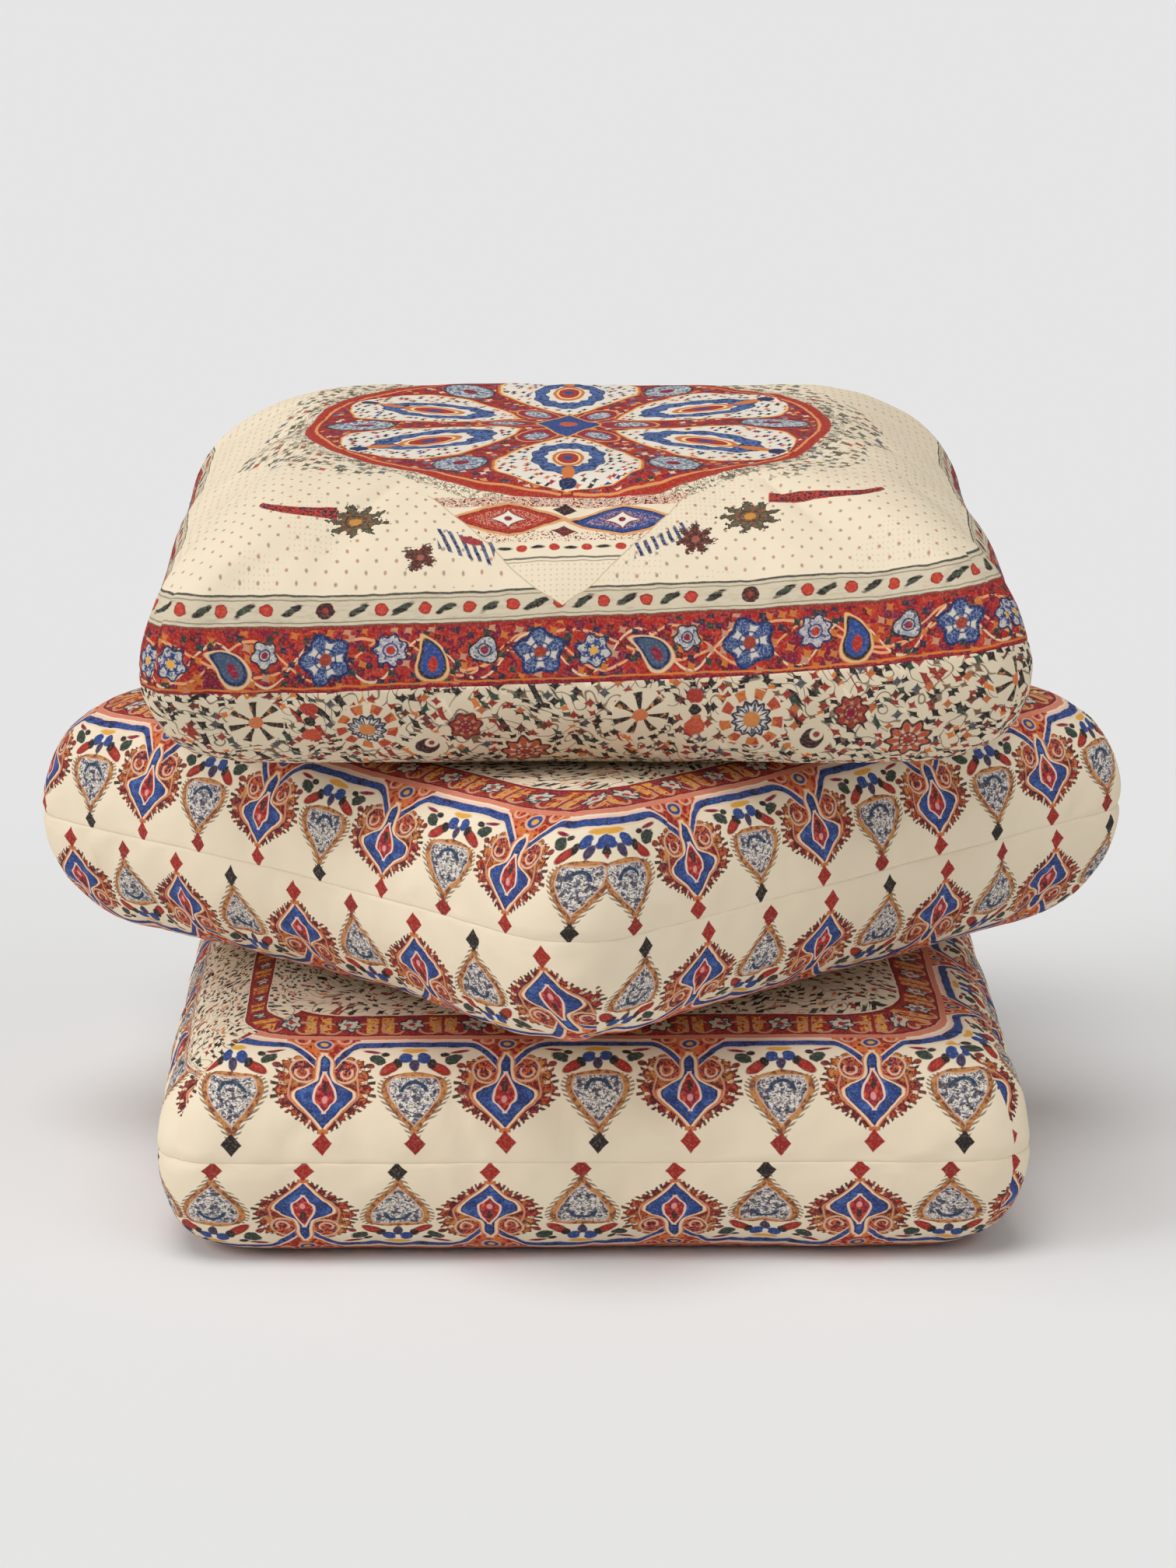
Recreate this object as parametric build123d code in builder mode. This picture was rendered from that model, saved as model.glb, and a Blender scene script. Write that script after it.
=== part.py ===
"""A stack of three square cotton floor poufs, each with a printed cover, a zip and a stuffed pad.

The stack stands on its lowest pouf, with +Z up and the origin on the floor under the middle of the
stack. The middle pouf is turned an eighth of a turn. Each cover is two square cloths with boxed corners
that meet in a seam round the pouf. A zip lies in that seam at the back. The pad inside is a foam block
wrapped in wadding and a calico casing.
"""

import os
from dataclasses import dataclass
from math import cos, radians, sin, sqrt

from build123d import *

# The bottom pouf, in millimetres and degrees. Each half's bulging side goes in by its inset up to its
# edge, a height from the seam. The crown goes on from there, up or down to the flat, over its run in plan.
bottom_width = 600
bottom_turn = 0.8
bottom_aside = 6.0
bottom_corner_radius = 42
bottom_lower_inset = 42
bottom_lower_edge = 74
bottom_lower_crown = 2
bottom_lower_crown_run = 15
bottom_upper_inset = 50
bottom_upper_edge = 72
bottom_upper_crown = 12
bottom_upper_crown_run = 60

# The middle pouf, whose corners are the furthest out
middle_width = 590
middle_turn = 44.4
middle_corner_radius = 56
middle_lower_inset = 70
middle_lower_edge = 88
middle_lower_crown = 10
middle_lower_crown_run = 24
middle_upper_inset = 44
middle_upper_edge = 80
middle_upper_crown = 4
middle_upper_crown_run = 24

# The top pouf, whose upper face swells freely. Its crown takes over from the side at this turn round it,
# where both have the same slope.
top_width = 602
top_turn = 0.9
top_corner_radius = 36
top_lower_inset = 56
top_lower_edge = 70
top_lower_crown = 3
top_lower_crown_run = 16
top_upper_inset = 80
top_upper_edge = 94
top_upper_side_turn = 57.5
top_upper_crown = 36
top_upper_crown_run = 80

stack_gap = 0.3  # between the cloths of two poufs that lie on each other
whole_side_turn = 90  # degrees from a bulging side's seam to its level edge
side_shares = (0, 0.11, 0.31, 0.56, 0.8, 1.0)  # of the side's turn, at which a half has a section
crown_shares = (0, 0.4, 0.7, 1.0)  # of the crown's run, where it has a section
crown_fall_share = 0.8  # of a whole parabola, which the crown follows
crown_round_share = 0.15  # of a crown section's distance in, that its corners grow rounder by

# The layers of a pouf, from the outside in
cover_cloth = 1.0
layer_gap = 0.3  # between one layer and the next
casing_cloth = 0.8
wadding_thickness = 18.0

# The zip in the seam at the back
zip_length = 400.0  # of the two rows of coil
zip_slot_half = 4.8  # from the seam to the cloth's edge beside the coil
zip_slot_over = 6.0  # past each end of the coil, for the stops
tape_width = 11.0
tape_thickness = 0.6
tape_over = 10.0  # past each end of the coil
row_gap = 0.7  # from the seam to each row of coil and to each tape
coil_height = 2.5
coil_depth = 1.7
coil_round = 0.6
stop_length = 2.0
stop_gap = 0.3  # between a stop and the coil's end
stop_depth = 1.5

# The slider on the coil
slider_length = 11.0
slider_height = 8.2
slider_tail_height = 5.6
slider_round = 0.4
plate_thickness = 1.1
plate_clearance = 0.35  # between the slider and what it slides along
neck_thickness = 0.8  # through the gap between the rows
neck_length = 4.0
slider_rest = 8.5  # from the coil's closed end to the slider's middle
pad_clearance = 0.6  # behind the slider
bridge_length = 6.0  # between its two legs
bridge_wire = 1.3
bridge_round = 0.8
bridge_clearance = 0.4  # from the pull's pin to the bar over it

# The pull on the slider's bridge
pull_thickness = 1.2  # also the diameter of its pin
pull_clearance = 0.4  # over the slider when the pull lies flat
pull_window = 2.4  # between the pull's two arms
pull_window_over = 0.6  # past the bridge's leg
pull_arm = 1.3
pull_length = 24.0
pull_round = 1.2
pull_hole_radius = 1.2


@dataclass
class Half:
    """One half of a pouf, up (1) or down (-1) from the seam."""

    side: str
    up: int
    inset: float
    edge: float
    crown: float
    crown_run: float
    side_turn: float = whole_side_turn

    def height(self):
        return self.edge * sin(radians(self.side_turn)) + self.crown


@dataclass
class Pouf:
    """A pouf's outer shape, and where it stands."""

    name: str
    width: float
    turn: float
    aside: float
    corner_radius: float
    lower: Half
    upper: Half
    floor: float

    def level(self, height):
        """A level plane at this height over the seam, turned with the pouf."""
        along = Vector(cos(radians(self.turn)), sin(radians(self.turn)), 0)
        seam = self.floor + self.lower.height()
        return Plane(origin=(self.aside, 0, seam + height), x_dir=along, z_dir=(0, 0, 1))

    def back(self, outward):
        """An upright plane this far back from the pouf's middle, with x along the zip and y up."""
        seam = self.level(0)
        return Plane(origin=seam.origin + seam.y_dir * outward, x_dir=-seam.x_dir, z_dir=seam.y_dir)


def side_sections(pouf, half, inset, ease):
    """The bulging side's sections as (half width, corner radius, height over the seam), from the seam
    to the edge, for a skin that lies inset inside the cover's face, and ease more at the sides."""
    found = []
    for share in side_shares:
        turn = radians(half.side_turn * share)
        across = cos(turn)
        inward = half.inset * (1 - across) + (inset + ease) * across
        radius = pouf.corner_radius - inset * across
        height = (half.edge - inset) * sin(turn)
        found.append((pouf.width / 2 - inward, radius, half.up * height))
    return found


def crown_sections(pouf, half, inset, ease):
    """The crown's sections, from the edge to the flat."""
    found = []
    whole_fall = 1 - (1 - crown_fall_share) ** 2
    edge_lean = cos(radians(half.side_turn))
    edge_height = half.edge * sin(radians(half.side_turn))
    for share in crown_shares:
        run = half.crown_run * share
        rise = half.crown * (1 - (1 - crown_fall_share * share) ** 2) / whole_fall
        lean = edge_lean * (1 - crown_fall_share * share)
        inward = half.inset * (1 - edge_lean) + (inset + ease) * lean
        radius = pouf.corner_radius - inset * lean + crown_round_share * run
        height = edge_height + rise - inset * sqrt(1 - lean**2)
        found.append((pouf.width / 2 - inward - run, radius, half.up * height))
    return found


def loft_half(pouf, half, inset, ease, mode=Mode.ADD):
    """Lofts one half of a skin, its side and its crown, into the part that is being built."""
    for sections in (side_sections(pouf, half, inset, ease), crown_sections(pouf, half, inset, ease)):
        drawn = []
        for half_width, radius, height in sections:
            with BuildSketch(pouf.level(height)) as section:
                RectangleRounded(2 * half_width, 2 * half_width, radius)
            drawn.append(section.sketch)
        loft(sections=drawn, mode=mode)


def write(part, name):
    """Labels a finished piece and writes it."""
    part.label = name
    export_step(part, f"parts/{name}.step")


def tape_face(pouf):
    """How far the outer faces of the zip's tapes are from the pouf's middle. They are flat, so they lie
    as far in as the bulging side has drawn in at their outer edges."""
    reach = row_gap + tape_width
    recesses = [half.inset * (1 - sqrt(1 - (reach / half.edge) ** 2)) for half in (pouf.lower, pouf.upper)]
    return pouf.width / 2 - max(recesses) - cover_cloth - layer_gap


def slider_back(pouf):
    """How far the slider's inner plate is from the pouf's middle."""
    return tape_face(pouf) - tape_thickness - plate_clearance - plate_thickness


def slider_front(pouf):
    """How far the slider's outer face is from the pouf's middle."""
    return tape_face(pouf) + coil_depth + plate_clearance + plate_thickness


def make_cover(pouf):
    """The two cloths of a cover, each with its half of the slot for the zip."""
    slot_floor = slider_back(pouf)
    slot_reach = pouf.width / 2 + cover_cloth - slot_floor
    for half in (pouf.lower, pouf.upper):
        with BuildPart() as cover:
            loft_half(pouf, half, 0, 0)
            loft_half(pouf, half, cover_cloth, 0, Mode.SUBTRACT)
            with BuildSketch(pouf.back(slot_floor)):
                Rectangle(zip_length + 2 * zip_slot_over, 2 * zip_slot_half)
            extrude(amount=slot_reach, mode=Mode.SUBTRACT)
        write(cover.part, f"{pouf.name}_cover_{half.side}")


def make_pad(pouf):
    """The casing, the wadding inside it and the foam block in the middle."""
    casing_inset = cover_cloth + layer_gap
    wadding_inset = casing_inset + casing_cloth + layer_gap
    foam_inset = wadding_inset + wadding_thickness + layer_gap
    ease = pouf.width / 2 - casing_inset - slider_back(pouf) + pad_clearance
    for half in (pouf.lower, pouf.upper):
        with BuildPart() as casing:
            loft_half(pouf, half, casing_inset, ease)
            loft_half(pouf, half, casing_inset + casing_cloth, ease, Mode.SUBTRACT)
        write(casing.part, f"{pouf.name}_casing_{half.side}")
        with BuildPart() as wadding:
            loft_half(pouf, half, wadding_inset, ease)
            loft_half(pouf, half, wadding_inset + wadding_thickness, ease, Mode.SUBTRACT)
        write(wadding.part, f"{pouf.name}_wadding_{half.side}")
    with BuildPart() as foam:
        loft_half(pouf, pouf.lower, foam_inset, ease)
        loft_half(pouf, pouf.upper, foam_inset, ease)
    write(foam.part, f"{pouf.name}_foam_core")


def make_zip_rows(pouf):
    """The tapes and the rows of coil, one of each over the seam and one under it, and the stops."""
    face = pouf.back(tape_face(pouf))
    for half in (pouf.lower, pouf.upper):
        with BuildPart() as tape:
            with BuildSketch(face):
                with Locations((0, half.up * (row_gap + tape_width / 2))):
                    Rectangle(zip_length + 2 * tape_over, tape_width)
            extrude(amount=-tape_thickness)
        write(tape.part, f"{pouf.name}_zip_tape_{half.side}")

        with BuildPart() as coil:
            with BuildSketch(face):
                with Locations((0, half.up * (row_gap + coil_height / 2))):
                    Rectangle(zip_length, coil_height)
            extrude(amount=coil_depth)
            long_edges = coil.edges().filter_by(Axis(face.origin, face.x_dir))
            fillet(long_edges.sort_by(Axis(face.origin, face.z_dir))[-2:], coil_round)
        write(coil.part, f"{pouf.name}_zip_coil_{half.side}")

    stop_place = zip_length / 2 + stop_gap + stop_length / 2
    with BuildPart() as stops:
        with BuildSketch(face):
            with Locations((-stop_place, 0)):
                Rectangle(stop_length, 2 * (row_gap + coil_height))
            for up in (-1, 1):
                with Locations((stop_place, up * (row_gap + coil_height / 2))):
                    Rectangle(stop_length, coil_height)
        extrude(amount=stop_depth)
    write(stops.part, f"{pouf.name}_zip_stops")


def slider_outline():
    """The corners of both plates: full height at the shoulders, drawn in to the tail."""
    half_length = slider_length / 2
    shoulder = slider_height / 2
    tail = slider_tail_height / 2
    return [
        (half_length, shoulder),
        (0, shoulder),
        (-half_length, tail),
        (-half_length, -tail),
        (0, -shoulder),
        (half_length, -shoulder),
    ]


def make_slider(pouf):
    """The slider: a channel over the coil, a plate behind the tapes, a neck between and a bridge."""
    place = zip_length / 2 - slider_rest
    middle = Locations((place, 0))
    face = tape_face(pouf)
    front = slider_front(pouf)
    with BuildPart() as slider:
        with BuildSketch(pouf.back(face + plate_clearance)):
            with middle:
                Polygon(*slider_outline(), align=None)
        extrude(amount=front - face - plate_clearance)
        outer = slider.faces().sort_by(Axis(pouf.back(0).origin, pouf.back(0).z_dir))[-1]
        fillet(outer.edges(), slider_round)
        with BuildSketch(pouf.back(face)):
            with middle:
                Rectangle(2 * slider_length, 2 * (row_gap + coil_height + plate_clearance))
        extrude(amount=coil_depth + plate_clearance, mode=Mode.SUBTRACT)
        with BuildSketch(pouf.back(slider_back(pouf))):
            with middle:
                Polygon(*slider_outline(), align=None)
        extrude(amount=plate_thickness)
        with BuildSketch(pouf.back(slider_back(pouf))):
            with middle:
                Rectangle(neck_length, neck_thickness)
        extrude(amount=front - slider_back(pouf))
        bar_gap = pull_clearance + pull_thickness + bridge_clearance
        bridge_reach = bridge_length + 2 * bridge_wire
        with BuildSketch(pouf.level(0)) as side_view:
            with Locations((-place, front + (bar_gap + bridge_wire) / 2)):
                Rectangle(bridge_reach, bar_gap + bridge_wire)
            fillet(side_view.vertices().group_by(Axis(pouf.level(0).origin, pouf.level(0).y_dir))[-1], bridge_round)
            with Locations((-place, front + bar_gap / 2)):
                Rectangle(bridge_length, bar_gap, mode=Mode.SUBTRACT)
        extrude(amount=bridge_wire / 2, both=True)
    write(slider.part, f"{pouf.name}_zip_slider")


def make_pull(pouf):
    """The pull, lying flat along the zip, with its pin under the slider's bridge."""
    place = zip_length / 2 - slider_rest
    pin_face = slider_front(pouf) + pull_clearance + pull_thickness / 2
    window_length = bridge_length / 2 + bridge_wire + pull_window_over
    width = pull_window + 2 * pull_arm
    with BuildPart() as pull:
        with BuildSketch(pouf.back(pin_face)) as outline:
            with Locations((place - pull_length / 2, 0)):
                Rectangle(pull_length, width)
            fillet(outline.vertices().group_by(Axis(pouf.back(0).origin, pouf.back(0).x_dir))[0], pull_round)
            with Locations((place - window_length / 2, 0)):
                Rectangle(window_length, pull_window, mode=Mode.SUBTRACT)
            with Locations((place - pull_length + 2 * pull_hole_radius + pull_round, 0)):
                Circle(pull_hole_radius, mode=Mode.SUBTRACT)
        extrude(amount=pull_thickness / 2, both=True)
        with BuildSketch(pouf.level(0)):
            with Locations((-place, pin_face)):
                Circle(pull_thickness / 2)
        extrude(amount=width / 2, both=True)
    write(pull.part, f"{pouf.name}_zip_pull")


def make_pouf(pouf):
    """Every piece of one pouf."""
    make_cover(pouf)
    make_pad(pouf)
    make_zip_rows(pouf)
    make_slider(pouf)
    make_pull(pouf)


os.makedirs("parts", exist_ok=True)

bottom = Pouf(
    name="bottom",
    width=bottom_width,
    turn=bottom_turn,
    aside=bottom_aside,
    corner_radius=bottom_corner_radius,
    lower=Half("lower", -1, bottom_lower_inset, bottom_lower_edge, bottom_lower_crown, bottom_lower_crown_run),
    upper=Half("upper", 1, bottom_upper_inset, bottom_upper_edge, bottom_upper_crown, bottom_upper_crown_run),
    floor=0,
)
middle = Pouf(
    name="middle",
    width=middle_width,
    turn=middle_turn,
    aside=0,
    corner_radius=middle_corner_radius,
    lower=Half("lower", -1, middle_lower_inset, middle_lower_edge, middle_lower_crown, middle_lower_crown_run),
    upper=Half("upper", 1, middle_upper_inset, middle_upper_edge, middle_upper_crown, middle_upper_crown_run),
    floor=bottom.lower.height() + bottom.upper.height() + stack_gap,
)
top = Pouf(
    name="top",
    width=top_width,
    turn=top_turn,
    aside=0,
    corner_radius=top_corner_radius,
    lower=Half("lower", -1, top_lower_inset, top_lower_edge, top_lower_crown, top_lower_crown_run),
    upper=Half(
        "upper", 1, top_upper_inset, top_upper_edge, top_upper_crown, top_upper_crown_run, top_upper_side_turn
    ),
    floor=middle.floor + middle.lower.height() + middle.upper.height() + stack_gap,
)
for pouf in (bottom, middle, top):
    make_pouf(pouf)
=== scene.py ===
"""The looks of a stack of three printed cotton floor poufs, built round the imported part.

Lengths in this script are millimetres until a mesh is made. A place on a pouf is given by its side
(0 front, 1 right, 2 back, 3 left), by p along that side from its middle, and by h, the length of cloth
up or down from the seam.
"""

from math import cos, pi, radians, sin

import bpy
import numpy as np
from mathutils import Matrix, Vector


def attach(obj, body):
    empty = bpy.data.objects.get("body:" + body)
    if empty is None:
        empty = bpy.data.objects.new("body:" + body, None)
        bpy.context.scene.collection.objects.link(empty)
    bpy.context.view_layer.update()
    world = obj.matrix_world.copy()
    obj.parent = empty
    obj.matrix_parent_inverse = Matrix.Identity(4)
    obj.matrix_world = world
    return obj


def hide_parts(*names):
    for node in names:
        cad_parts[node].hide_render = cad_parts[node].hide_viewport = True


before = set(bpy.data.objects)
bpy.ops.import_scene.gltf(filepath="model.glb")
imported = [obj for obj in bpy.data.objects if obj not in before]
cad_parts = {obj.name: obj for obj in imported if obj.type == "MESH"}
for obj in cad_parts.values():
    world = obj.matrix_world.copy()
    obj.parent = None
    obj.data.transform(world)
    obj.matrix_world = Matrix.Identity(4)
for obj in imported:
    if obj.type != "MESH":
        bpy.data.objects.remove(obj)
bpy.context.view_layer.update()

SIDES = np.arange(4)[None, :, None]
SIDE_STEPS = 60
CORNER_STEPS = 6  # in half a corner
ZIP_SLOT_END = 206.0
ZIP_SLOT_HALF = 4.8
ZIP_SLOT_RAMP = 2.0
LEFT_CORNER_SAG = 8.0
FRONT_CORNER_FOLD = 5.0
MOST_FILLING = 4.0
FILLING_FRAMES = 20
COVER_THICKNESS = 1.0
SEAM_ALLOWANCE = 3.4  # what lies between a cover and its pad
TAPE_PLACES = 141  # along a zip's tape
WIRE_PLACES = 10  # in one turn of a zip's coil
PRINT_BLUR = 18  # how far the profile's smoothing reaches


def sine_noise(points, wavelength, seed):
    """Smooth noise of about -1 to 1 at each point."""
    dice = np.random.default_rng(seed)
    total = np.zeros(points.shape[:-1])
    for _ in range(9):
        way = dice.normal(size=3)
        way *= 2 * pi / wavelength / np.linalg.norm(way) * dice.uniform(0.6, 1.5)
        total += np.sin(points @ way + dice.uniform(0, 2 * pi))
    return total / 3.6


def smooth_step(low, high, value):
    share = np.clip((value - low) / (high - low), 0, 1)
    return share * share * (3 - 2 * share)


class Skin:
    """The outer skin of one pouf, as the part has it, with its cloth's relief added."""

    def __init__(self, name, width, turn, aside, corner, lower, upper, seam, free_top=False):
        self.name = name
        self.turn = radians(turn)
        self.aside = aside
        self.seam = seam
        self.free_top = free_top
        self.half_width = width / 2
        up = self.half_profile(corner, *upper)
        down = self.half_profile(corner, *lower)
        self.edge_h, self.flat_h, self.end_h = ({1: up[i], -1: down[i]} for i in (1, 2, 3))
        rows = np.vstack([down[0][:0:-1] * [-1, 1, -1, 1], up[0]])
        self.h = np.arange(-np.floor(self.end_h[-1]), np.floor(self.end_h[1]) + 1)
        kernel = np.exp(-((np.arange(-PRINT_BLUR, PRINT_BLUR + 1) / 6.0) ** 2) / 2)
        kernel /= kernel.sum()
        self.columns = []
        for i in (1, 2, 3):
            column = np.interp(self.h, rows[:, 0], rows[:, i])
            padded = np.pad(column, PRINT_BLUR, mode="reflect", reflect_type="odd")
            self.columns.append(np.convolve(padded, kernel, "valid"))
        self.columns += [np.gradient(column) for column in self.columns[:2]]
        self.pushed = None
        self.shares = self.column_shares(corner)

    def half_profile(self, corner, inset, edge, crown, run, side_turn=90):
        """(h, half width, height, corner radius) from the seam to the middle of the flat face."""
        rows = []
        for turn in np.linspace(0, radians(side_turn), 91):
            rows.append((self.half_width - inset * (1 - cos(turn)), edge * sin(turn), corner))
        edge_row = len(rows) - 1
        edge_width, edge_height, _ = rows[-1]
        for share in np.linspace(0, 1, 31)[1:]:
            rise = crown * (1 - (1 - 0.8 * share) ** 2) / 0.96
            rows.append((edge_width - run * share, edge_height + rise, corner + 0.15 * run * share))
        flat_row = len(rows) - 1
        width, height, radius = rows[-1]
        for share in np.linspace(0, 1, 41)[1:]:
            rows.append((width * (1 - share), height, radius * (1 - share)))
        rows = np.array(rows)
        steps = np.hypot(np.diff(rows[:, 0]), np.diff(rows[:, 1]))
        h = np.concatenate([[0], np.cumsum(steps)])
        return np.column_stack([h, rows]), h[edge_row], h[flat_row], h[-1]

    def column_shares(self, corner):
        """For each station along a side, (share of the straight part, angle round the corner)."""
        straight = self.half_width - corner
        shares = np.linspace(-1, 1, SIDE_STEPS + 1)
        slot = int(np.argmin(abs(shares * straight - ZIP_SLOT_END)))
        for index, place in ((slot, ZIP_SLOT_END), (slot - 1, ZIP_SLOT_END - ZIP_SLOT_RAMP)):
            shares[index] = place / straight
            shares[SIDE_STEPS - index] = -place / straight
        turns = np.linspace(0, pi / 4, CORNER_STEPS + 1)[1:]
        stations = [(-1.0, -turn) for turn in turns[::-1]]
        stations += [(share, 0.0) for share in shares]
        stations += [(1.0, turn) for turn in turns]
        return np.array(stations)

    def grid(self, levels):
        """h for every level, side and station."""
        return np.broadcast_to(levels[:, None, None], (len(levels), 4, len(self.shares))).copy()

    def edge_at(self, h):
        return np.where(h > 0, self.edge_h[1], self.edge_h[-1])

    def place(self, h):
        """Points, normals and p for an array h of shape (levels, 4, stations)."""
        found = [np.interp(h, self.h, column) for column in self.columns]
        width, height, radius, out_slope, up_slope = found
        length = np.hypot(out_slope, up_slope) + 1e-9
        share, turn = self.shares.T
        straight = width - radius
        across = share * straight + radius * np.sin(turn)
        outward = straight + radius * np.cos(turn)
        side_turn = self.turn + SIDES * pi / 2
        right = np.stack([np.cos(side_turn), np.sin(side_turn)], -1)
        out = np.stack([np.sin(side_turn), -np.cos(side_turn)], -1)
        flat = right * across[..., None] + out * outward[..., None]
        flat[..., 0] += self.aside
        points = np.concatenate([flat, (height + self.seam)[..., None]], -1)
        lean = (right * np.sin(turn)[:, None] + out * np.cos(turn)[:, None]) * (up_slope / length)[..., None]
        normals = np.concatenate([lean, (-out_slope / length)[..., None]], -1)
        return points, normals, share * straight + radius * turn

    def relief(self, points, p, h):
        """How far the cloth stands out from the skin: bumps, the seam's groove and its puckers."""
        zip_near = (SIDES == 2) * smooth_step(232, 214, abs(p)) * smooth_step(24, 14, abs(h))
        to_edge = abs(h) / self.edge_at(h)
        free = smooth_step(1.02, 0.72, to_edge)
        if self.free_top:
            free = np.where(h > 0, 1.0, free)
        seed = len(self.name) * 7
        swell = 1.7 * sine_noise(points, 190, seed) + 0.9 * sine_noise(points, 85, seed + 1)
        out = (swell + 0.35 * sine_noise(points, 34, seed + 2)) * free
        ripple = np.sin(p / 3.4 + 2.5 * np.sin(p / 23 + SIDES) + seed)
        out += 0.34 * ripple * np.exp(-abs(h) / 16) * smooth_step(0.3, 5, abs(h))
        from_corner = (abs(self.shares[:, 1]) - pi / 4) * 52
        along = smooth_step(1.0, 0.8, to_edge)
        out -= 0.9 * np.exp(-((from_corner / 2.2) ** 2)) * along
        if self is MIDDLE:
            nose = ((SIDES == 0) & (p < 0)) | ((SIDES == 3) & (p > 0))
            fold = np.exp(-((from_corner / 10) ** 2)) * smooth_step(-8, -30, h)
            out += FRONT_CORNER_FOLD * nose * fold * along
        seam_h = h - seam_shift(self, SIDES, p)
        out -= 0.6 * np.exp(-((seam_h / 1.7) ** 2))
        out += 0.1 * np.exp(-(((abs(seam_h) - 6.0) / 4.0) ** 2))
        return out * (1 - zip_near)

    def shape(self, h, inside=0.0, push=1.0):
        """Points at a depth inside the relieved cloth, and p."""
        points, normals, p = self.place(h)
        if push:
            points = points + normals * (self.relief(points, p, h) * push)[..., None]
            if self.pushed is not None:
                points = points + self.moved(h) * push
        points = points - normals * inside
        if self is MIDDLE:
            points[..., 2] -= LEFT_CORNER_SAG * smooth_step(225, 385, -points[..., 0])
        return points, p

    def moved(self, h):
        """The simulated cloth's movement at h, along each station's own column."""
        levels, moves = self.pushed
        found = np.zeros(h.shape + (3,))
        for spot in np.ndindex(4, h.shape[2], 3):
            column = (slice(None), *spot)
            found[column] = np.interp(h[column[:3]], levels, moves[column])
        return found


def seam_shift(skin, side, p):
    """How far above the level seam line the seam of the cloths runs. Only the top pouf's is askew."""
    if skin is not TOP:
        return np.zeros(np.shape(p))
    places = [-290, -239, -166, -107, -20, 107, 190, 282]
    front = np.interp(p, places, [-12, -11, -9.8, -7.3, -4.8, 1.2, 6.5, 18.5])
    fade = 0.5 - p / 560
    right = 18.5 * np.clip(fade, 0, 1)
    left = -12 * np.clip(1 - fade, 0, 1)
    return np.select([side == 0, side == 1, side == 3], [front, right, left], 0.0)


BOTTOM = Skin("bottom", 600, 0.8, 6.0, 42, (42, 74, 2, 15), (50, 72, 12, 60), 76.0)
MIDDLE = Skin("middle", 590, 44.4, 0.0, 56, (70, 88, 10, 24), (44, 80, 4, 24), 258.3)
TOP = Skin("top", 602, 0.9, 0.0, 36, (56, 70, 3, 16), (80, 94, 36, 80, 57.5), 415.6, free_top=True)
SKINS = (BOTTOM, MIDDLE, TOP)


def level_list(skin, way, step=6.0, flat_step=16.0):
    """Levels of h from the seam to just before the middle of the flat face, all positive."""
    edge = skin.edge_h[way]
    flat = max(skin.flat_h[way], edge + 20)
    end = skin.end_h[way]
    near = np.array([0, 1.2, 2.4, 4.0, 6.5, 9.5, 13.0])
    side = np.linspace(18, edge, max(4, round((edge - 18) / step)))
    crown = np.linspace(edge, flat, max(3, round((flat - edge) / (step * 1.3))))[1:]
    face = np.linspace(flat, end, max(6, round((end - flat) / flat_step)))[1:-1]
    return np.concatenate([near, side, crown, face])


def whole_levels(skin):
    """Coarser levels of h for a whole bag, from below to above."""
    down, up = (level_list(skin, way, step=8.0, flat_step=22.0) for way in (-1, 1))
    return np.concatenate([-down[:0:-1], up])


def cover_levels(skin, way):
    """h for every point of one half's grid, with the slot for the zip and the askew seam."""
    base_h = skin.grid(level_list(skin, way))
    p = skin.place(np.zeros_like(base_h))[2]
    in_slot = (SIDES == 2) * np.clip((ZIP_SLOT_END - abs(p)) / ZIP_SLOT_RAMP, 0, 1)
    start = way * seam_shift(skin, SIDES, p) + in_slot * ZIP_SLOT_HALF
    return way * (base_h + start * np.clip(1 - base_h / skin.edge_h[way], 0, 1))


def ring_order(points):
    """(levels, 4, stations, 3) as (levels, columns, 3), with the stations that two sides share once."""
    return points[:, :, :-1].reshape(points.shape[0], -1, points.shape[-1])


def grid_faces(levels, columns, offset=0, flip=False):
    rows, spots = np.meshgrid(np.arange(levels - 1), np.arange(columns), indexing="ij")
    a = offset + rows * columns + spots
    b = offset + rows * columns + (spots + 1) % columns
    faces = np.stack([a, b, b + columns, a + columns], -1).reshape(-1, 4)
    return faces[:, ::-1] if flip else faces


def cap(start, columns, pole, down=False):
    """The triangles between a ring and its pole."""
    spots = np.arange(columns)
    after = (spots + 1) % columns
    if down:
        spots, after = after, spots
    return np.stack([start + spots, start + after, np.full(columns, pole)], -1)


def bag(ring, start=0, inward=False):
    """A closed bag's points and faces from its rings, with a pole at each end."""
    levels, columns = ring.shape[:2]
    pole = start + levels * columns
    faces = grid_faces(levels, columns, start, inward).tolist()
    for tips in (cap(start, columns, pole, down=True), cap(pole - columns, columns, pole + 1)):
        faces += (tips[:, ::-1] if inward else tips).tolist()
    return np.vstack([ring.reshape(-1, 3), ring[0].mean(axis=0), ring[-1].mean(axis=0)]), faces


def new_object(name, points, faces, material=None):
    mesh = bpy.data.meshes.new(name)
    mesh.from_pydata((np.asarray(points) * 0.001).tolist(), [], faces)
    mesh.update()
    mesh.polygons.foreach_set("use_smooth", [True] * len(mesh.polygons))
    made = bpy.data.objects.new(name, mesh)
    bpy.context.scene.collection.objects.link(made)
    if material:
        mesh.materials.append(material)
    return made


def read(items, name, kind=int, size=1):
    found = np.empty(len(items) * size, dtype=kind)
    items.foreach_get(name, found)
    return found.reshape(-1, size) if size > 1 else found


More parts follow.
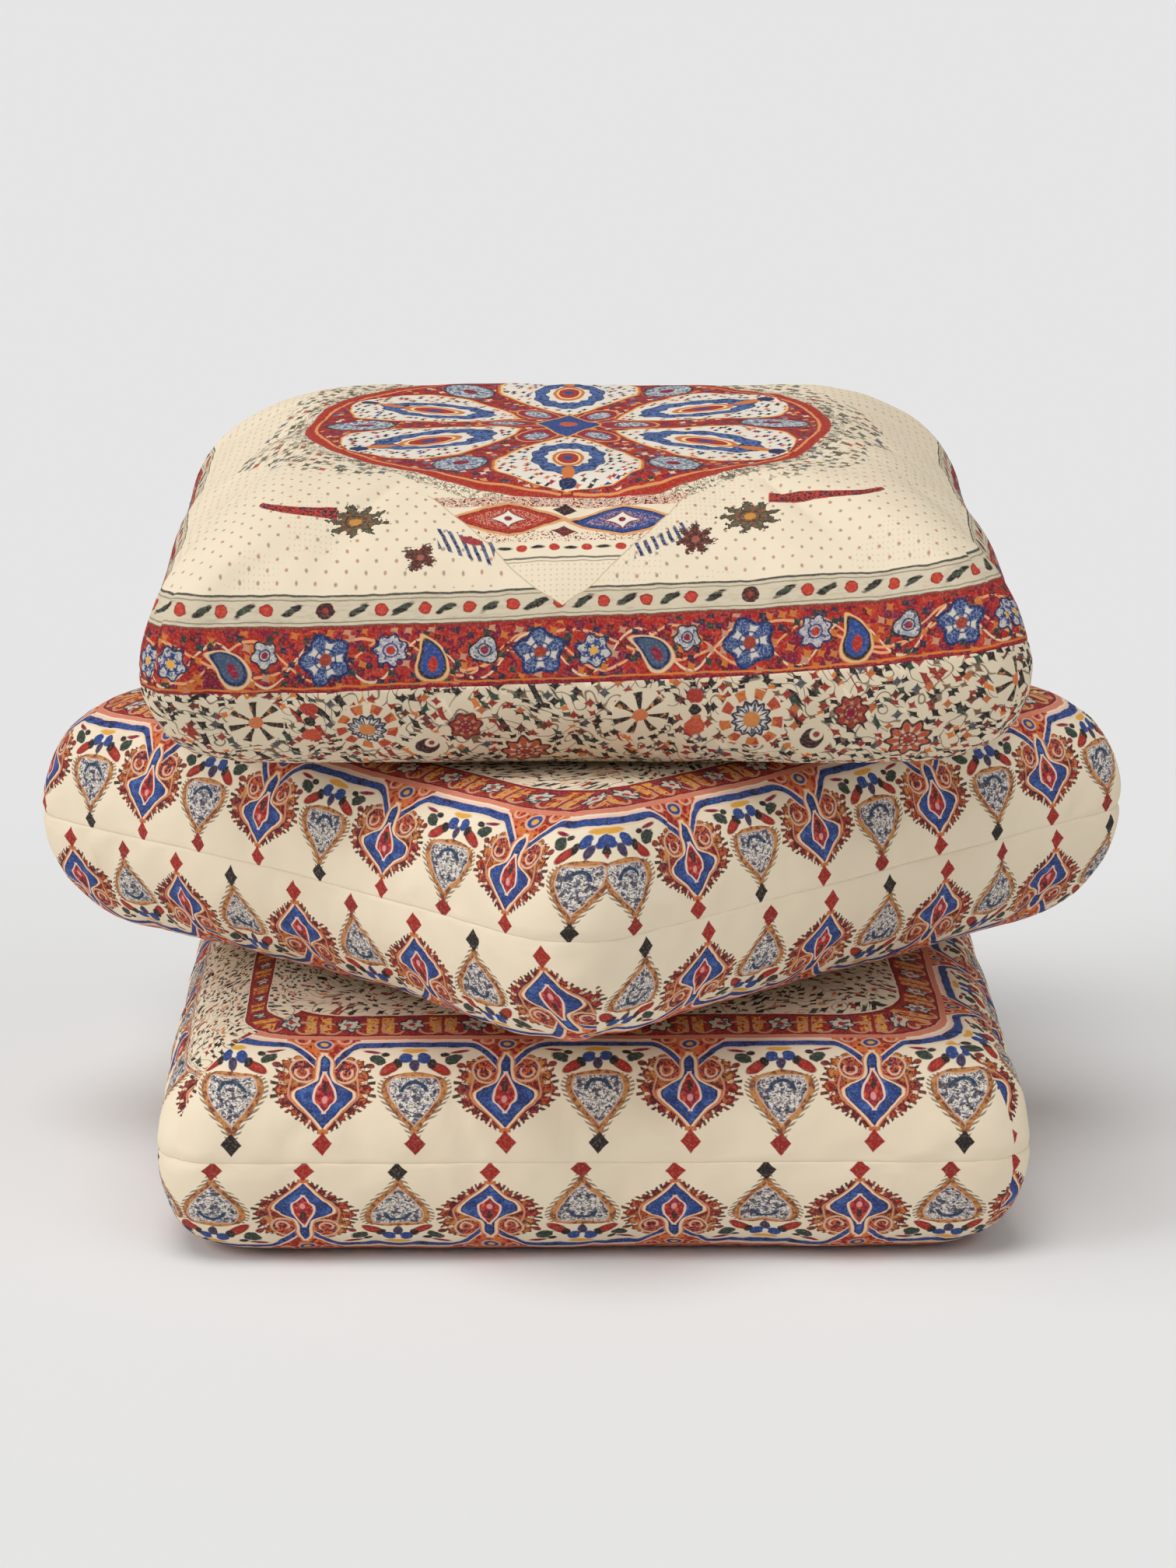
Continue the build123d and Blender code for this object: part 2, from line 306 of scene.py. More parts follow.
def make_cover(skin, way, name, material, to_print, lap=0):
    """One half of a cover, a closed shell of cloth, with its print's coordinates on it.
    The left side's print runs on past the front corner by lap cells."""
    h = cover_levels(skin, way)
    end = np.full((1,) + h.shape[1:], way * (skin.end_h[way] - 0.5))
    levels = h.shape[0]
    steps = h.shape[2] - 1
    columns = 4 * steps
    count = levels * columns + 1
    points = []
    for depth in (0.0, COVER_THICKNESS):
        face, p = skin.shape(h, inside=depth)
        points += [ring_order(face).reshape(-1, 3), skin.shape(end, inside=depth)[0].mean(axis=(0, 1, 2))]
    points = np.vstack(points)
    quads = grid_faces(levels, columns, flip=way < 0)
    tips = cap(count - 1 - columns, columns, count - 1, down=way < 0)
    spots = np.arange(columns)
    after = (spots + 1) % columns
    rim = np.stack([spots, spots + count, after + count, after], -1)[:, ::way]
    faces = quads.tolist() + tips.tolist()
    faces += (quads[:, ::-1] + count).tolist() + (tips[:, ::-1] + count).tolist() + rim.tolist()
    made = new_object(name, points, faces, material)
    uv_ring = np.empty((levels + 1, columns, 2, 2))

    def lay(first, cells, side, p_here, h_here):
        """The print's coordinates at both ends of each cell of the grid, from one column on."""
        uv = np.stack(to_print(side, p_here, h_here), -1)
        for end_of in (0, 1):
            uv_ring[:-1, first:first + cells, end_of] = uv[:, end_of:cells + end_of]

    for side in range(4):
        lay(side * steps, steps, side, p[:, side], h[:, side])
        pole = to_print(side, np.zeros(1), np.array([way * skin.end_h[way]]))
        uv_ring[-1, side * steps:(side + 1) * steps] = np.ravel(pole)
    if lap:
        lay(0, lap, 3, p[:, 0, :lap + 1] + 2 * p[:, 3, -1:], h[:, 0, :lap + 1])
    write_print_uv(made, points, uv_ring, count)
    return made


def write_print_uv(made, points, uv_ring, count):
    """Two maps: cloth, in the print's millimetres, whose u jumps at corner seams, and plan, from above."""
    mesh = made.data
    levels, columns = uv_ring.shape[0] - 1, uv_ring.shape[1]
    corners = read(mesh.loops, "vertex_index")
    totals = read(mesh.polygons, "loop_total")
    owner = np.repeat(np.arange(len(totals)), totals)
    flat = corners % count
    is_pole = flat == levels * columns
    level = np.minimum(flat // columns, levels)
    column = np.where(is_pole, 0, flat % columns)
    first = np.full(len(totals), columns)
    np.minimum.at(first, owner, np.where(is_pole, columns, column))
    last = np.zeros(len(totals), dtype=int)
    np.maximum.at(last, owner, column)
    cell = np.where(last - first > 1, columns - 1, first)[owner]
    end_of = np.where(is_pole, 0, (column != cell).astype(int))
    for name, found in (("cloth", uv_ring[level, cell, end_of]), ("plan", points[corners][:, :2])):
        mesh.uv_layers.new(name=name).data.foreach_set("uv", found.astype(np.float32).ravel())


def make_whole(skin, name, material, inside, thickness, outer_push=1.0, inner_push=1.0):
    """A closed bag of cloth or wadding, as an outer and an inner face."""
    h = skin.grid(whole_levels(skin))
    points, faces = bag(ring_order(skin.shape(h, inside, outer_push)[0]))
    if thickness:
        ring = ring_order(skin.shape(h, inside + thickness, inner_push)[0])
        inner_points, inner_faces = bag(ring, len(points), inward=True)
        points = np.vstack([points, inner_points])
        faces += inner_faces
    return new_object(name, points, faces, material)


def fill_cloth(skin):
    """Blows a copy of the skin up as cloth from inside, held at its seam and where poufs touch."""
    levels = whole_levels(skin)
    h = skin.grid(levels)
    points, normals, p = skin.place(h)
    start, faces = bag(ring_order(points + normals * skin.relief(points, p, h)[..., None]))
    cloth = new_object(skin.name + "_filling_trial", start, faces)
    hold = smooth_step(0.66, 0.95, abs(h) / skin.edge_at(h))
    if skin.free_top:
        hold = np.where(h > 0, 0.0, hold)
    hold = np.maximum(hold, np.exp(-((h / 3.0) ** 2)))
    hold = np.maximum(hold, (SIDES == 2) * (abs(h) < 22) * (abs(p) < 226))
    group = cloth.vertex_groups.new(name="held")
    for index, weight in enumerate(ring_order(hold[..., None])[..., 0].ravel()):
        if weight > 0.02:
            group.add([index], float(weight), "REPLACE")
    poles = [len(start) - 2, len(start) - 1]
    group.add(poles[:1] if skin.free_top else poles, 1.0, "REPLACE")
    modifier = cloth.modifiers.new("cloth", "CLOTH")
    settings = dict(
        quality=5, mass=0.25, tension_stiffness=18, compression_stiffness=14, shear_stiffness=6,
        bending_stiffness=0.35, air_damping=2.0, vertex_group_mass="held", pin_stiffness=1.0,
        use_pressure=True, uniform_pressure_force=4.0, shrink_min=-0.012,
    )
    for key, value in settings.items():
        setattr(modifier.settings, key, value)
    modifier.settings.effector_weights.gravity = 0.0
    modifier.collision_settings.use_collision = False
    modifier.collision_settings.use_self_collision = False
    modifier.point_cache.frame_start = 1
    modifier.point_cache.frame_end = FILLING_FRAMES
    scene = bpy.context.scene
    for tick in range(1, FILLING_FRAMES + 1):
        scene.frame_set(tick)
    seen = cloth.evaluated_get(bpy.context.evaluated_depsgraph_get())
    moved = read(seen.data.vertices, "co", np.float32, 3) * 1000 - start
    scene.frame_set(1)
    bpy.data.objects.remove(cloth)
    length = np.linalg.norm(moved, axis=1, keepdims=True)
    moved *= MOST_FILLING * np.tanh(length / MOST_FILLING) / (length + 1e-6)
    moves = np.empty(h.shape + (3,))
    moves[:, :, :-1] = moved[:-2].reshape(len(levels), 4, -1, 3)
    moves[:, :, -1] = np.roll(moves[:, :, 0], -1, axis=1)
    moves *= (1 - np.clip(hold, 0, 1))[..., None]
    print("filled", skin.name, "moved at most", round(float(length.max()), 1), "mm")
    return levels, moves


def linear(colour):
    """An sRGB colour from 0 to 255 as linear RGBA."""
    shares = np.array(colour, dtype=float) / 255
    made = np.where(shares <= 0.04045, shares / 12.92, ((shares + 0.055) / 1.055) ** 2.4)
    return (*made.tolist(), 1.0)


CREAM = (238, 223, 197)
FIELD_CREAM = (226, 211, 184)
BLUE = (46, 72, 136)
DARK_BLUE = (34, 46, 90)
VERMILION = (172, 48, 36)
RED = (150, 40, 35)
CRIMSON = (136, 32, 58)
ORANGE = (212, 120, 54)
YELLOW = (224, 166, 70)
TAN = (176, 128, 88)
BLACK = (46, 38, 38)
GREEN = (60, 74, 64)
GREY_BLUE = (146, 156, 172)
PINK = (222, 170, 146)
WHITE = (236, 228, 214)


class Value:
    """A number in a material's node tree, with ordinary arithmetic."""

    def __init__(self, cloth, socket):
        self.cloth = cloth
        self.socket = socket

    def __add__(self, other):
        return calc("ADD", self, other)

    def __sub__(self, other):
        return calc("SUBTRACT", self, other)

    def __rsub__(self, other):
        return calc("SUBTRACT", other, self)

    def __mul__(self, other):
        return calc("MULTIPLY", self, other)

    def __abs__(self):
        return calc("ABSOLUTE", self)


def calc(kind, *values, clamp=False):
    """One step of arithmetic in the material that the values belong to."""
    cloth = next(value.cloth for value in values if isinstance(value, Value))
    made = cloth.node("Math", operation=kind, use_clamp=clamp)
    for socket, value in zip(made.inputs, values):
        cloth.put(socket, value)
    return Value(cloth, made.outputs[0])


def sine(value):
    return calc("SINE", value)


def angle(up, across):
    return calc("ARCTAN2", up, across)


def wrap(value, low, high):
    return calc("WRAP", value, high, low)


def below(distance, soft=0.7):
    """1 where a signed distance is below nought, with an edge this soft. Masks join by multiplying."""
    return calc("MULTIPLY_ADD", distance, -1 / soft, 0.5, clamp=True)


def band(value, low, high, soft=0.7):
    return below(abs(value - (low + high) / 2) - (high - low) / 2, soft)


def length(x, y):
    made = x.cloth.node("VectorMath", operation="LENGTH")
    x.cloth.put(made.inputs[0], x.cloth.vector(x, y))
    return Value(x.cloth, made.outputs["Value"])


def ellipse(x, y, at, radii, tilt=0.0):
    """The signed distance, nearly, from an ellipse's edge, negative inside."""
    dx, dy = x - at[0], y - at[1]
    if tilt:
        c, s = cos(radians(tilt)), sin(radians(tilt))
        dx, dy = dx * c + dy * s, dy * c - dx * s
    small = min(radii)
    return length(dx * (small / radii[0]), dy * (small / radii[1])) - small


def diamond(x, y, at, radii, power):
    """A four-pointed shape with hollow sides."""
    a, b = (
        calc("POWER", abs((value - place) * (1 / radius)), power)
        for value, place, radius in zip((x, y), at, radii)
    )
    return (a + b - 1.0) * min(radii)


def curve(value, *points):
    """A smooth curve through (input, output) points, in millimetres."""
    low, high = points[0][0], points[-1][0]
    most = max(y for _, y in points)
    made = value.cloth.node("FloatCurve")
    line = made.mapping.curves[0]
    spots = [((x - low) / (high - low), y / most) for x, y in points]
    line.points[0].location = spots[0]
    line.points[1].location = spots[-1]
    for spot in spots[1:-1]:
        line.points.new(*spot)
    for point in line.points:
        point.handle_type = "AUTO_CLAMPED"
    made.mapping.update()
    share = calc("MULTIPLY_ADD", value, 1 / (high - low), -low / (high - low), clamp=True)
    value.cloth.put(made.inputs["Value"], share)
    return Value(value.cloth, made.outputs[0]) * most


def outline(across, along, *points):
    """The signed distance, nearly, from an outline given as half widths along its axis."""
    past = abs(along - (points[0][0] + points[-1][0]) / 2) - (points[-1][0] - points[0][0]) / 2
    return calc("MAXIMUM", across - curve(along, *points), past)


def ramp(value, first, *rest, constant=True):
    """Inks by a value from 0 to 1: the first ink, then each place and the ink from there on."""
    made = value.cloth.node("ValToRGB")
    made.color_ramp.interpolation = "CONSTANT" if constant else "LINEAR"
    stops = [(0.0, first), *zip(rest[::2], rest[1::2])]
    entries = made.color_ramp.elements
    while len(entries) < len(stops):
        entries.new(0.5)
    for entry, (place, colour) in zip(entries, stops):
        entry.position = place
        entry.color = linear(colour)
    value.cloth.put(made.inputs[0], value)
    return made.outputs[0]


class Cloth:
    """A printed cotton, painted one ink after another."""

    def __init__(self, name, ground=CREAM, roughness=0.86):
        self.material = bpy.data.materials.new(name)
        self.material.use_nodes = True
        self.tree = self.material.node_tree
        self.shader = self.tree.nodes["Principled BSDF"]
        self.shader.inputs["Roughness"].default_value = roughness
        self.shader.inputs["Specular IOR Level"].default_value = 0.22
        self.colour = ground

    def node(self, kind, **settings):
        made = self.tree.nodes.new("ShaderNode" + kind)
        for key, value in settings.items():
            setattr(made, key, value)
        return made

    def put(self, socket, value):
        if isinstance(value, Value):
            value = value.socket
        if isinstance(value, bpy.types.NodeSocket):
            self.tree.links.new(value, socket)
        else:
            socket.default_value = value

    def texture(self, kind, at, scale, **settings):
        made = self.node("Tex" + kind, **settings)
        self.put(made.inputs["Vector"], at)
        made.inputs["Scale"].default_value = scale
        return made

    def parts(self, socket):
        """A vector's or a colour's first two numbers."""
        split = self.node("SeparateXYZ")
        self.put(split.inputs[0], socket)
        return Value(self, split.outputs[0]), Value(self, split.outputs[1])

    def map(self, name):
        return self.parts(self.node("UVMap", uv_map=name).outputs[0])

    def vector(self, x, y, z=0.0):
        made = self.node("CombineXYZ")
        for socket, value in zip(made.inputs, (x, y, z)):
            self.put(socket, value)
        return made.outputs[0]

    def noise(self, at, wavelength, detail=2.0, rough=0.5):
        made = self.texture("Noise", self.vector(*at), 1 / wavelength, noise_dimensions="3D")
        made.inputs["Detail"].default_value = detail
        made.inputs["Roughness"].default_value = rough
        return Value(self, made.outputs[0])

    def mottle(self, u, v, wavelength, seed):
        return self.noise((u, v, seed), wavelength, 1.5, 0.6)

    def cells(self, at, wavelength, random=0.9, sharp=0.62):
        """(distance from the cell's point, the cell's own random number), both about 0 to 1."""
        made = self.texture(
            "Voronoi", self.vector(*at), 1 / wavelength,
            voronoi_dimensions="2D", feature="F1", distance="MINKOWSKI",
        )
        made.inputs["Randomness"].default_value = random
        made.inputs["Exponent"].default_value = sharp
        return Value(self, made.outputs["Distance"]), self.parts(made.outputs["Color"])[0]

    def later(self, *values):
        """The same values, worked out only once the paint so far is laid, which keeps the shader small."""
        split = self.node("SeparateColor")
        self.put(split.inputs[0], self.colour)
        so_far = Value(self, split.outputs[0])
        return [calc("MULTIPLY_ADD", so_far, 0.0000001, value) for value in values]

    def paint(self, mask, ink, blend="MIX"):
        """Lays one ink, a colour or a socket, over what is there."""
        made = self.node("Mix", data_type="RGBA", blend_type=blend)
        for spot, value in ((0, mask), (6, self.colour), (7, ink)):
            self.put(made.inputs[spot], linear(value) if isinstance(value, tuple) else value)
        self.colour = made.outputs[2]

    def fill(self, distance, ink, *where):
        """Paints what lies inside a signed distance, and in these masks."""
        mask = below(distance)
        for other in where:
            mask = mask * other
        self.paint(mask, ink)

    def layers(self, distance, *steps, where=()):
        """Fills a shape again and again, each time grown by a step, with that step's ink."""
        for grown, ink in steps:
            self.fill(distance - grown if grown else distance, ink, *where)

    def spots(self, x, y, *rows, where=()):
        """Fills ellipses, each a row of place, radii, tilt and ink."""
        for at, radii, tilt, ink in rows:
            self.fill(ellipse(x, y, at, radii, tilt), ink, *where)

    def bump(self, height, strength, distance):
        made = self.node("Bump")
        made.inputs["Strength"].default_value = strength
        made.inputs["Distance"].default_value = distance
        self.put(made.inputs["Height"], height)
        self.put(self.shader.inputs["Normal"], made.outputs[0])

    def finish(self, u, v):
        """The cotton itself: ink that took unevenly, the weave and its slubs."""
        fine = self.noise((u, v, 3.0), 1.7, 1.0)
        self.paint(calc("MULTIPLY_ADD", fine, 0.384, -0.18, clamp=True), CREAM)
        blot = self.noise((u, v, 9.0), 46, 3.0, 0.6)
        self.paint(calc("MULTIPLY_ADD", blot, 0.34, -0.1, clamp=True), (222, 205, 176), "MULTIPLY")
        self.put(self.shader.inputs["Base Color"], self.colour)
        warp = sine(u * (2 * pi / 0.9))
        weft = sine(v * (2 * pi / 0.95))
        slub = self.noise((u * 0.15, v * 2.0, 5.0), 5.0, 2.0)
        self.bump(warp * weft * 0.5 + slub * 1.2 + fine * 0.6, 0.12, 0.0004)
        return self.material


def plain_cloth(name, colour, wavelength, depth, strength=0.4, roughness=0.95):
    """Calico, wadding or foam, by its colour and the size of its lumps."""
    cloth = Cloth(name, colour, roughness)
    lump = cloth.texture("Noise", cloth.node("TexCoord").outputs["Object"], 1000 / wavelength)
    lump.inputs["Detail"].default_value = 3.0
    cloth.paint(lump.outputs[0], tuple(round(part * 0.86) for part in colour))
    cloth.put(cloth.shader.inputs["Base Color"], cloth.colour)
    cloth.bump(lump.outputs[0], strength, depth * 0.001)
    return cloth.material


def metal(name, colour):
    cloth = Cloth(name, colour, 0.32)
    cloth.shader.inputs["Metallic"].default_value = 1.0
    cloth.shader.inputs["Specular IOR Level"].default_value = 0.5
    wear = cloth.texture("Noise", cloth.node("TexCoord").outputs["Object"], 900).outputs[0]
    cloth.paint(wear, tuple(round(part * 0.8) for part in colour))
    cloth.put(cloth.shader.inputs["Base Color"], cloth.colour)
    cloth.put(cloth.shader.inputs["Roughness"], calc("MULTIPLY_ADD", Value(cloth, wear), 0.2, 0.22))
    return cloth.material


def sway(cloth, u, v, seed):
    """The print's coordinates with the unevenness of blocks pressed by hand."""
    slow = cloth.noise((u, v, seed), 70, 0.0) - 0.5
    quick = cloth.noise((u, v, seed + 4.0), 9, 1.0) - 0.5
    v_slow = cloth.noise((u, v, seed + 8.0), 90, 0.0) - 0.5
    return u + slow * 5.0 + quick * 2.2, v + v_slow * 4.0 - quick * 1.8


def paint_scroll_field(cloth, u, v, seed, dark=(92, 70, 56), where=1):
    """Thin scrolls with small dark leaves and buds between them."""
    bend = cloth.noise((u, v, seed), 26, 1)
    line = abs(wrap(bend * 7, -0.5, 0.5)) - 0.055
    cloth.paint(below(line, 0.06) * where * 0.8, dark)
    leaf_u = u * 0.8 + v * 0.6 + bend * 34
    away, own = cloth.cells((leaf_u * 0.62, v * 0.8 - u * 0.6 + bend * 16), 6.6)
    cloth.paint(below(away - 0.52, 0.12) * where, ramp(
        own, BLACK, 0.34, GREEN, 0.48, (120, 96, 74), 0.6, CREAM,
        0.66, (150, 52, 44), 0.84, ORANGE, 0.92, BLACK))


def lambrequin():
    """The border print of the two lower poufs. u runs along the side, with a black-tipped drop at nought
    and a period of 250. v is up from the seam: tips at 15, a blue line at 91, a red band over it."""
    cloth = Cloth("lambrequin_cotton")
    u0, v0 = cloth.map("cloth")
    u, v = sway(cloth, u0, v0, 1)
    x = abs(wrap(u - 62.5, -62.5, 62.5))  # from the blue palmette's axis
    t = 62.5 - x  # from the drop's axis
    black_here = below(abs(wrap(u, -125, 125)) - 62.5, 0.5)
    spot = cloth.mottle(u, v, 3.4, 2)
    patch = cloth.mottle(u, v, 8, 6)

    # The cream field with its scrolls past the red band
    paint_scroll_field(cloth, u, v, 20, (120, 84, 66), below(133 - v, 1))

    # The red band
    red = band(v, 104, 131)
    b = wrap(u, -21.25, 21.25)
    cloth.paint(red, RED)
    cloth.paint(red * below(patch - 0.44, 0.05), CRIMSON)
    warm = ramp(spot, RED, 0.42, ORANGE, 0.5, YELLOW, 0.62, TAN)
    cloth.paint(band(abs(b), 12, 20) * band(v, 107, 128), warm)
    cloth.fill(abs(length(abs(b) - 12, v - 113) - 7) - 1, (200, 146, 116), red)
    flower = length(b, v - 118)
    petals = flower + sine(angle(v - 118, b) * 6) * 1.3
    cloth.layers(petals, (8.6, BLACK), (7, ramp(spot, (96, 96, 108), 0.44, (208, 196, 178))))
    cloth.fill(flower - 2.2, VERMILION)
    cloth.paint(calc("MAXIMUM", band(v, 103.2, 105, 0.6), band(v, 129.6, 131.6, 0.6)), (130, 30, 34))

    # Small things over each drop
    cloth.spots(t, v, ((0, 84.5), (9, 2.4), 0, YELLOW), ((30, 83.5), (6.5, 1.5), 12, CRIMSON))
    cloth.fill(ellipse(t, v, (26, 76), (6.4, 4.2), 32) + spot * 2.4 - 1.2, (52, 64, 56))
    cloth.spots(
        t, v,
        ((31, 70), (3, 2.4), 0, (140, 46, 42)),
        ((20.5, 80.5), (3, 2.2), 0, BLACK),
        ((16.5, 68.5), (9.4, 4), -36, (146, 44, 40)),
        ((17.5, 68.2), (6.4, 1.8), -36, VERMILION),
        ((6, 77), (4.8, 5), 20, BLUE),
        ((11.5, 72.5), (3, 4.2), -20, BLACK),
        ((0, 70.5), (3.4, 5), 0, (66, 56, 86)),
        ((0, 77.5), (2, 2.2), 0, WHITE),
    )

    # The drop
    drop = outline(t, v, (19, 0), (22, 1.8), (27, 4.8), (33, 10.4), (40, 16), (47, 20.2), (53, 21.8),
                   (58, 20.6), (62, 15), (65, 0)) - 0.8
    hairs = below(drop - 3) * below(sine((v - t * 0.5) * 2.1), 0.5) * below(v - 62)
    cloth.paint(hairs * 0.8, (104, 84, 70))
    brown = ramp(spot, (124, 72, 54), 0.43, (168, 112, 66), 0.54, (196, 136, 76))
    cloth.layers(drop, (0, brown), (-4.4, (214, 166, 140)))
    inside = below(drop + 5.5)
    cloth.paint(inside, ramp(
        spot, (92, 84, 92), 0.40, (150, 150, 162), 0.48, (228, 220, 208), 0.6, (176, 168, 160)))
    strokes = cloth.mottle(u, v * 1.6, 4.6, 31)
    cloth.paint(inside * below(abs(strokes - 0.5) - 0.026, 0.03), (52, 46, 56))
    arc = abs(length(t, v - 48) - 9) - 1.4
    cloth.paint(inside * below(arc) * below(50 - v), (44, 66, 92))
    tip = below(diamond(t, v, (0, 14), (7, 8.4), 0.95))
    cloth.paint(tip * black_here, BLACK)
    cloth.paint(tip * (1 - black_here), (146, 42, 38))

    # The palmette's flames, dark red below and orange above, with a fringe of short strokes
    leafy = outline(x, v, (22, 0), (25, 3), (30, 10), (36, 19), (42, 26), (49, 30), (57, 29), (63, 27.5),
                    (69, 26), (76, 20), (82, 0)) - 1.4
    turn = angle(x, v - 52)
    lobe = sine(turn * 19)
    fringe = below(leafy - 4.6 - lobe) * below(sine(turn * 47), 0.5) * band(v, 22, 76)
    cloth.paint(fringe, ramp(patch, (70, 54, 46), 0.5, (124, 62, 48)))
    flame = leafy + lobe * 1.3
    cloth.layers(flame, (1, (112, 44, 38)), (0, ramp(
        patch + (v - 54) * 0.005, (110, 32, 34), 0.42, RED, 0.50, (188, 96, 46), 0.54, (140, 38, 36),
        0.62, (200, 108, 50))))
    high = below(flame + 1.5) * below(56 - v, 4) * below(spot - 0.53, 0.04)
    cloth.paint(high, (200, 134, 66))
    between = below(leafy + 0.6) * below(-4.6 - leafy) * below(lobe * -1 + 0.72, 0.2)
    cloth.paint(between, (232, 200, 170))
    cloth.fill(leafy + 1, (54, 36, 40), below(abs(spot - 0.48) - 0.03, 0.03))
    cloth.fill(abs(leafy + 7.5) - 0.7, (206, 146, 116))
    roll = length(x - 13.6, v - 66.6)
    cloth.fill(abs(roll - 9.2) - 0.8, (220, 178, 148))
    cloth.fill(roll - 8.3, ramp(
        spot, (58, 44, 62), 0.40, (140, 38, 44), 0.49, (206, 110, 54),
        0.56, (150, 44, 48), 0.63, DARK_BLUE))
    cloth.fill(abs(length(x - 15, v - 64.8) - 4.2) - 0.8, (228, 180, 150), below(v - 67.5))

    # The blue line that dips to each palmette, with its pale edge, and what lies in its Y
    over = v - curve(x, (0, 68), (4, 70), (9, 76), (16, 84), (24, 91), (32, 91.5), (62.5, 91.5))
    cup = below(x - 25) * band(over, 2, 60) * below(v - 103)
    cloth.paint(cup, ramp(patch, RED, 0.45, (206, 92, 60), 0.52, ORANGE, 0.6, RED))
    cloth.layers(length(x, v - 92), (6.6, PINK), (5, BLUE), (2.4, YELLOW))
    cloth.fill(abs(length(x - 14, v - 97.5) - 4.5) - 1, PINK)
    cloth.paint(band(v, 98.6, 103), (214, 130, 104))
    cloth.paint(band(over, 2.6, 5.6), (238, 200, 180))
    line = band(over, -3.2, 3)
    cloth.paint(line, BLUE)
    cloth.paint(line * below(patch - 0.42, 0.05), DARK_BLUE)
    cloth.paint(band(over, -5, -3.6), (236, 208, 180))

    # The palmette itself
    blue = outline(x, v, (25, 0), (29, 3.2), (34, 8), (39, 13), (43, 17), (48, 19.6), (52, 16.5),
                   (56, 9), (60, 4.6), (66, 3.4), (74, 3.2), (80, 0))
    cloth.layers(blue, (3.4, (206, 122, 70)), (2.2, (240, 206, 176)), (0, DARK_BLUE),
                 (-1.1, ramp(patch, (40, 62, 118), 0.45, BLUE, 0.6, (62, 96, 160))))
    heart = outline(x, v, (37, 0), (41, 3.4), (46, 6.8), (51, 6), (57, 3.4), (64, 0))
    reds = ramp(spot, CRIMSON, 0.47, VERMILION, 0.58, (206, 80, 60))
    cloth.layers(heart, (1.6, (240, 208, 186)), (0, reds))
    cloth.spots(x, v, ((0, 54), (2, 4.4), 0, (70, 44, 40)), ((0, 45), (2, 2.6), 0, (224, 150, 150)),
                ((0, 23.2), (3.2, 1.8), 0, (200, 110, 60)))
    cloth.fill(diamond(x, v, (0, 14.6), (7.2, 8.6), 0.95), (160, 42, 36))
    return cloth.finish(u0, v0)


def paint_flower(cloth, x, y, at, radius, petals, inks, seed=0, where=(), rough=None):
    """A round flower: dark outline, petals that shade from one ink to the other, and a centre."""
    x, y = cloth.later(x, y)
    dark, outer, inner, centre = inks
    dx, dy = x - at[0], y - at[1]
    away = length(dx, dy)
    turn = angle(dy, dx) * float(petals) + seed
    lobe = away + sine(turn) * (radius * (0.13 if rough is None else 0.24))
    if rough is not None:
        lobe = lobe + (rough - 0.5) * (radius * 1.4)
    cloth.layers(lobe, (radius, dark), (radius * 0.86, outer), where=where)
    cloth.fill(lobe - radius * 0.80, inner, below(sine(turn + pi) + 0.35, 0.5), *where)
    cloth.fill(away - radius * 0.74, dark, below(abs(away - radius * 0.42) - 0.5), *where)
    cloth.fill(away - radius * 0.26, centre, *where)


def paint_boteh(cloth, x, y, at, radii, tilt, inks):
    """A paisley: an outlined leaf whose tip curls over, with a bud inside."""
    edge, line, body, bud = inks
    c, s = cos(radians(tilt)), sin(radians(tilt))
    dx, dy = x - at[0], y - at[1]
    across, up = dx * c + dy * s, dy * c - dx * s
    across = across + calc("POWER", calc("MAXIMUM", up * (1 / radii[1]), 0), 2) * radii[0] * 0.9
    taper = calc("MULTIPLY_ADD", up, 0.42 / radii[1], 1)
    shape = length(across * taper, up * (radii[0] / radii[1])) - radii[0]
    cloth.layers(shape, (0, edge), (-1.5, line), (-2.9, body))
    cloth.fill(ellipse(across, up, (0, -radii[1] * 0.2), (radii[0] * 0.3, radii[1] * 0.34)), bud)


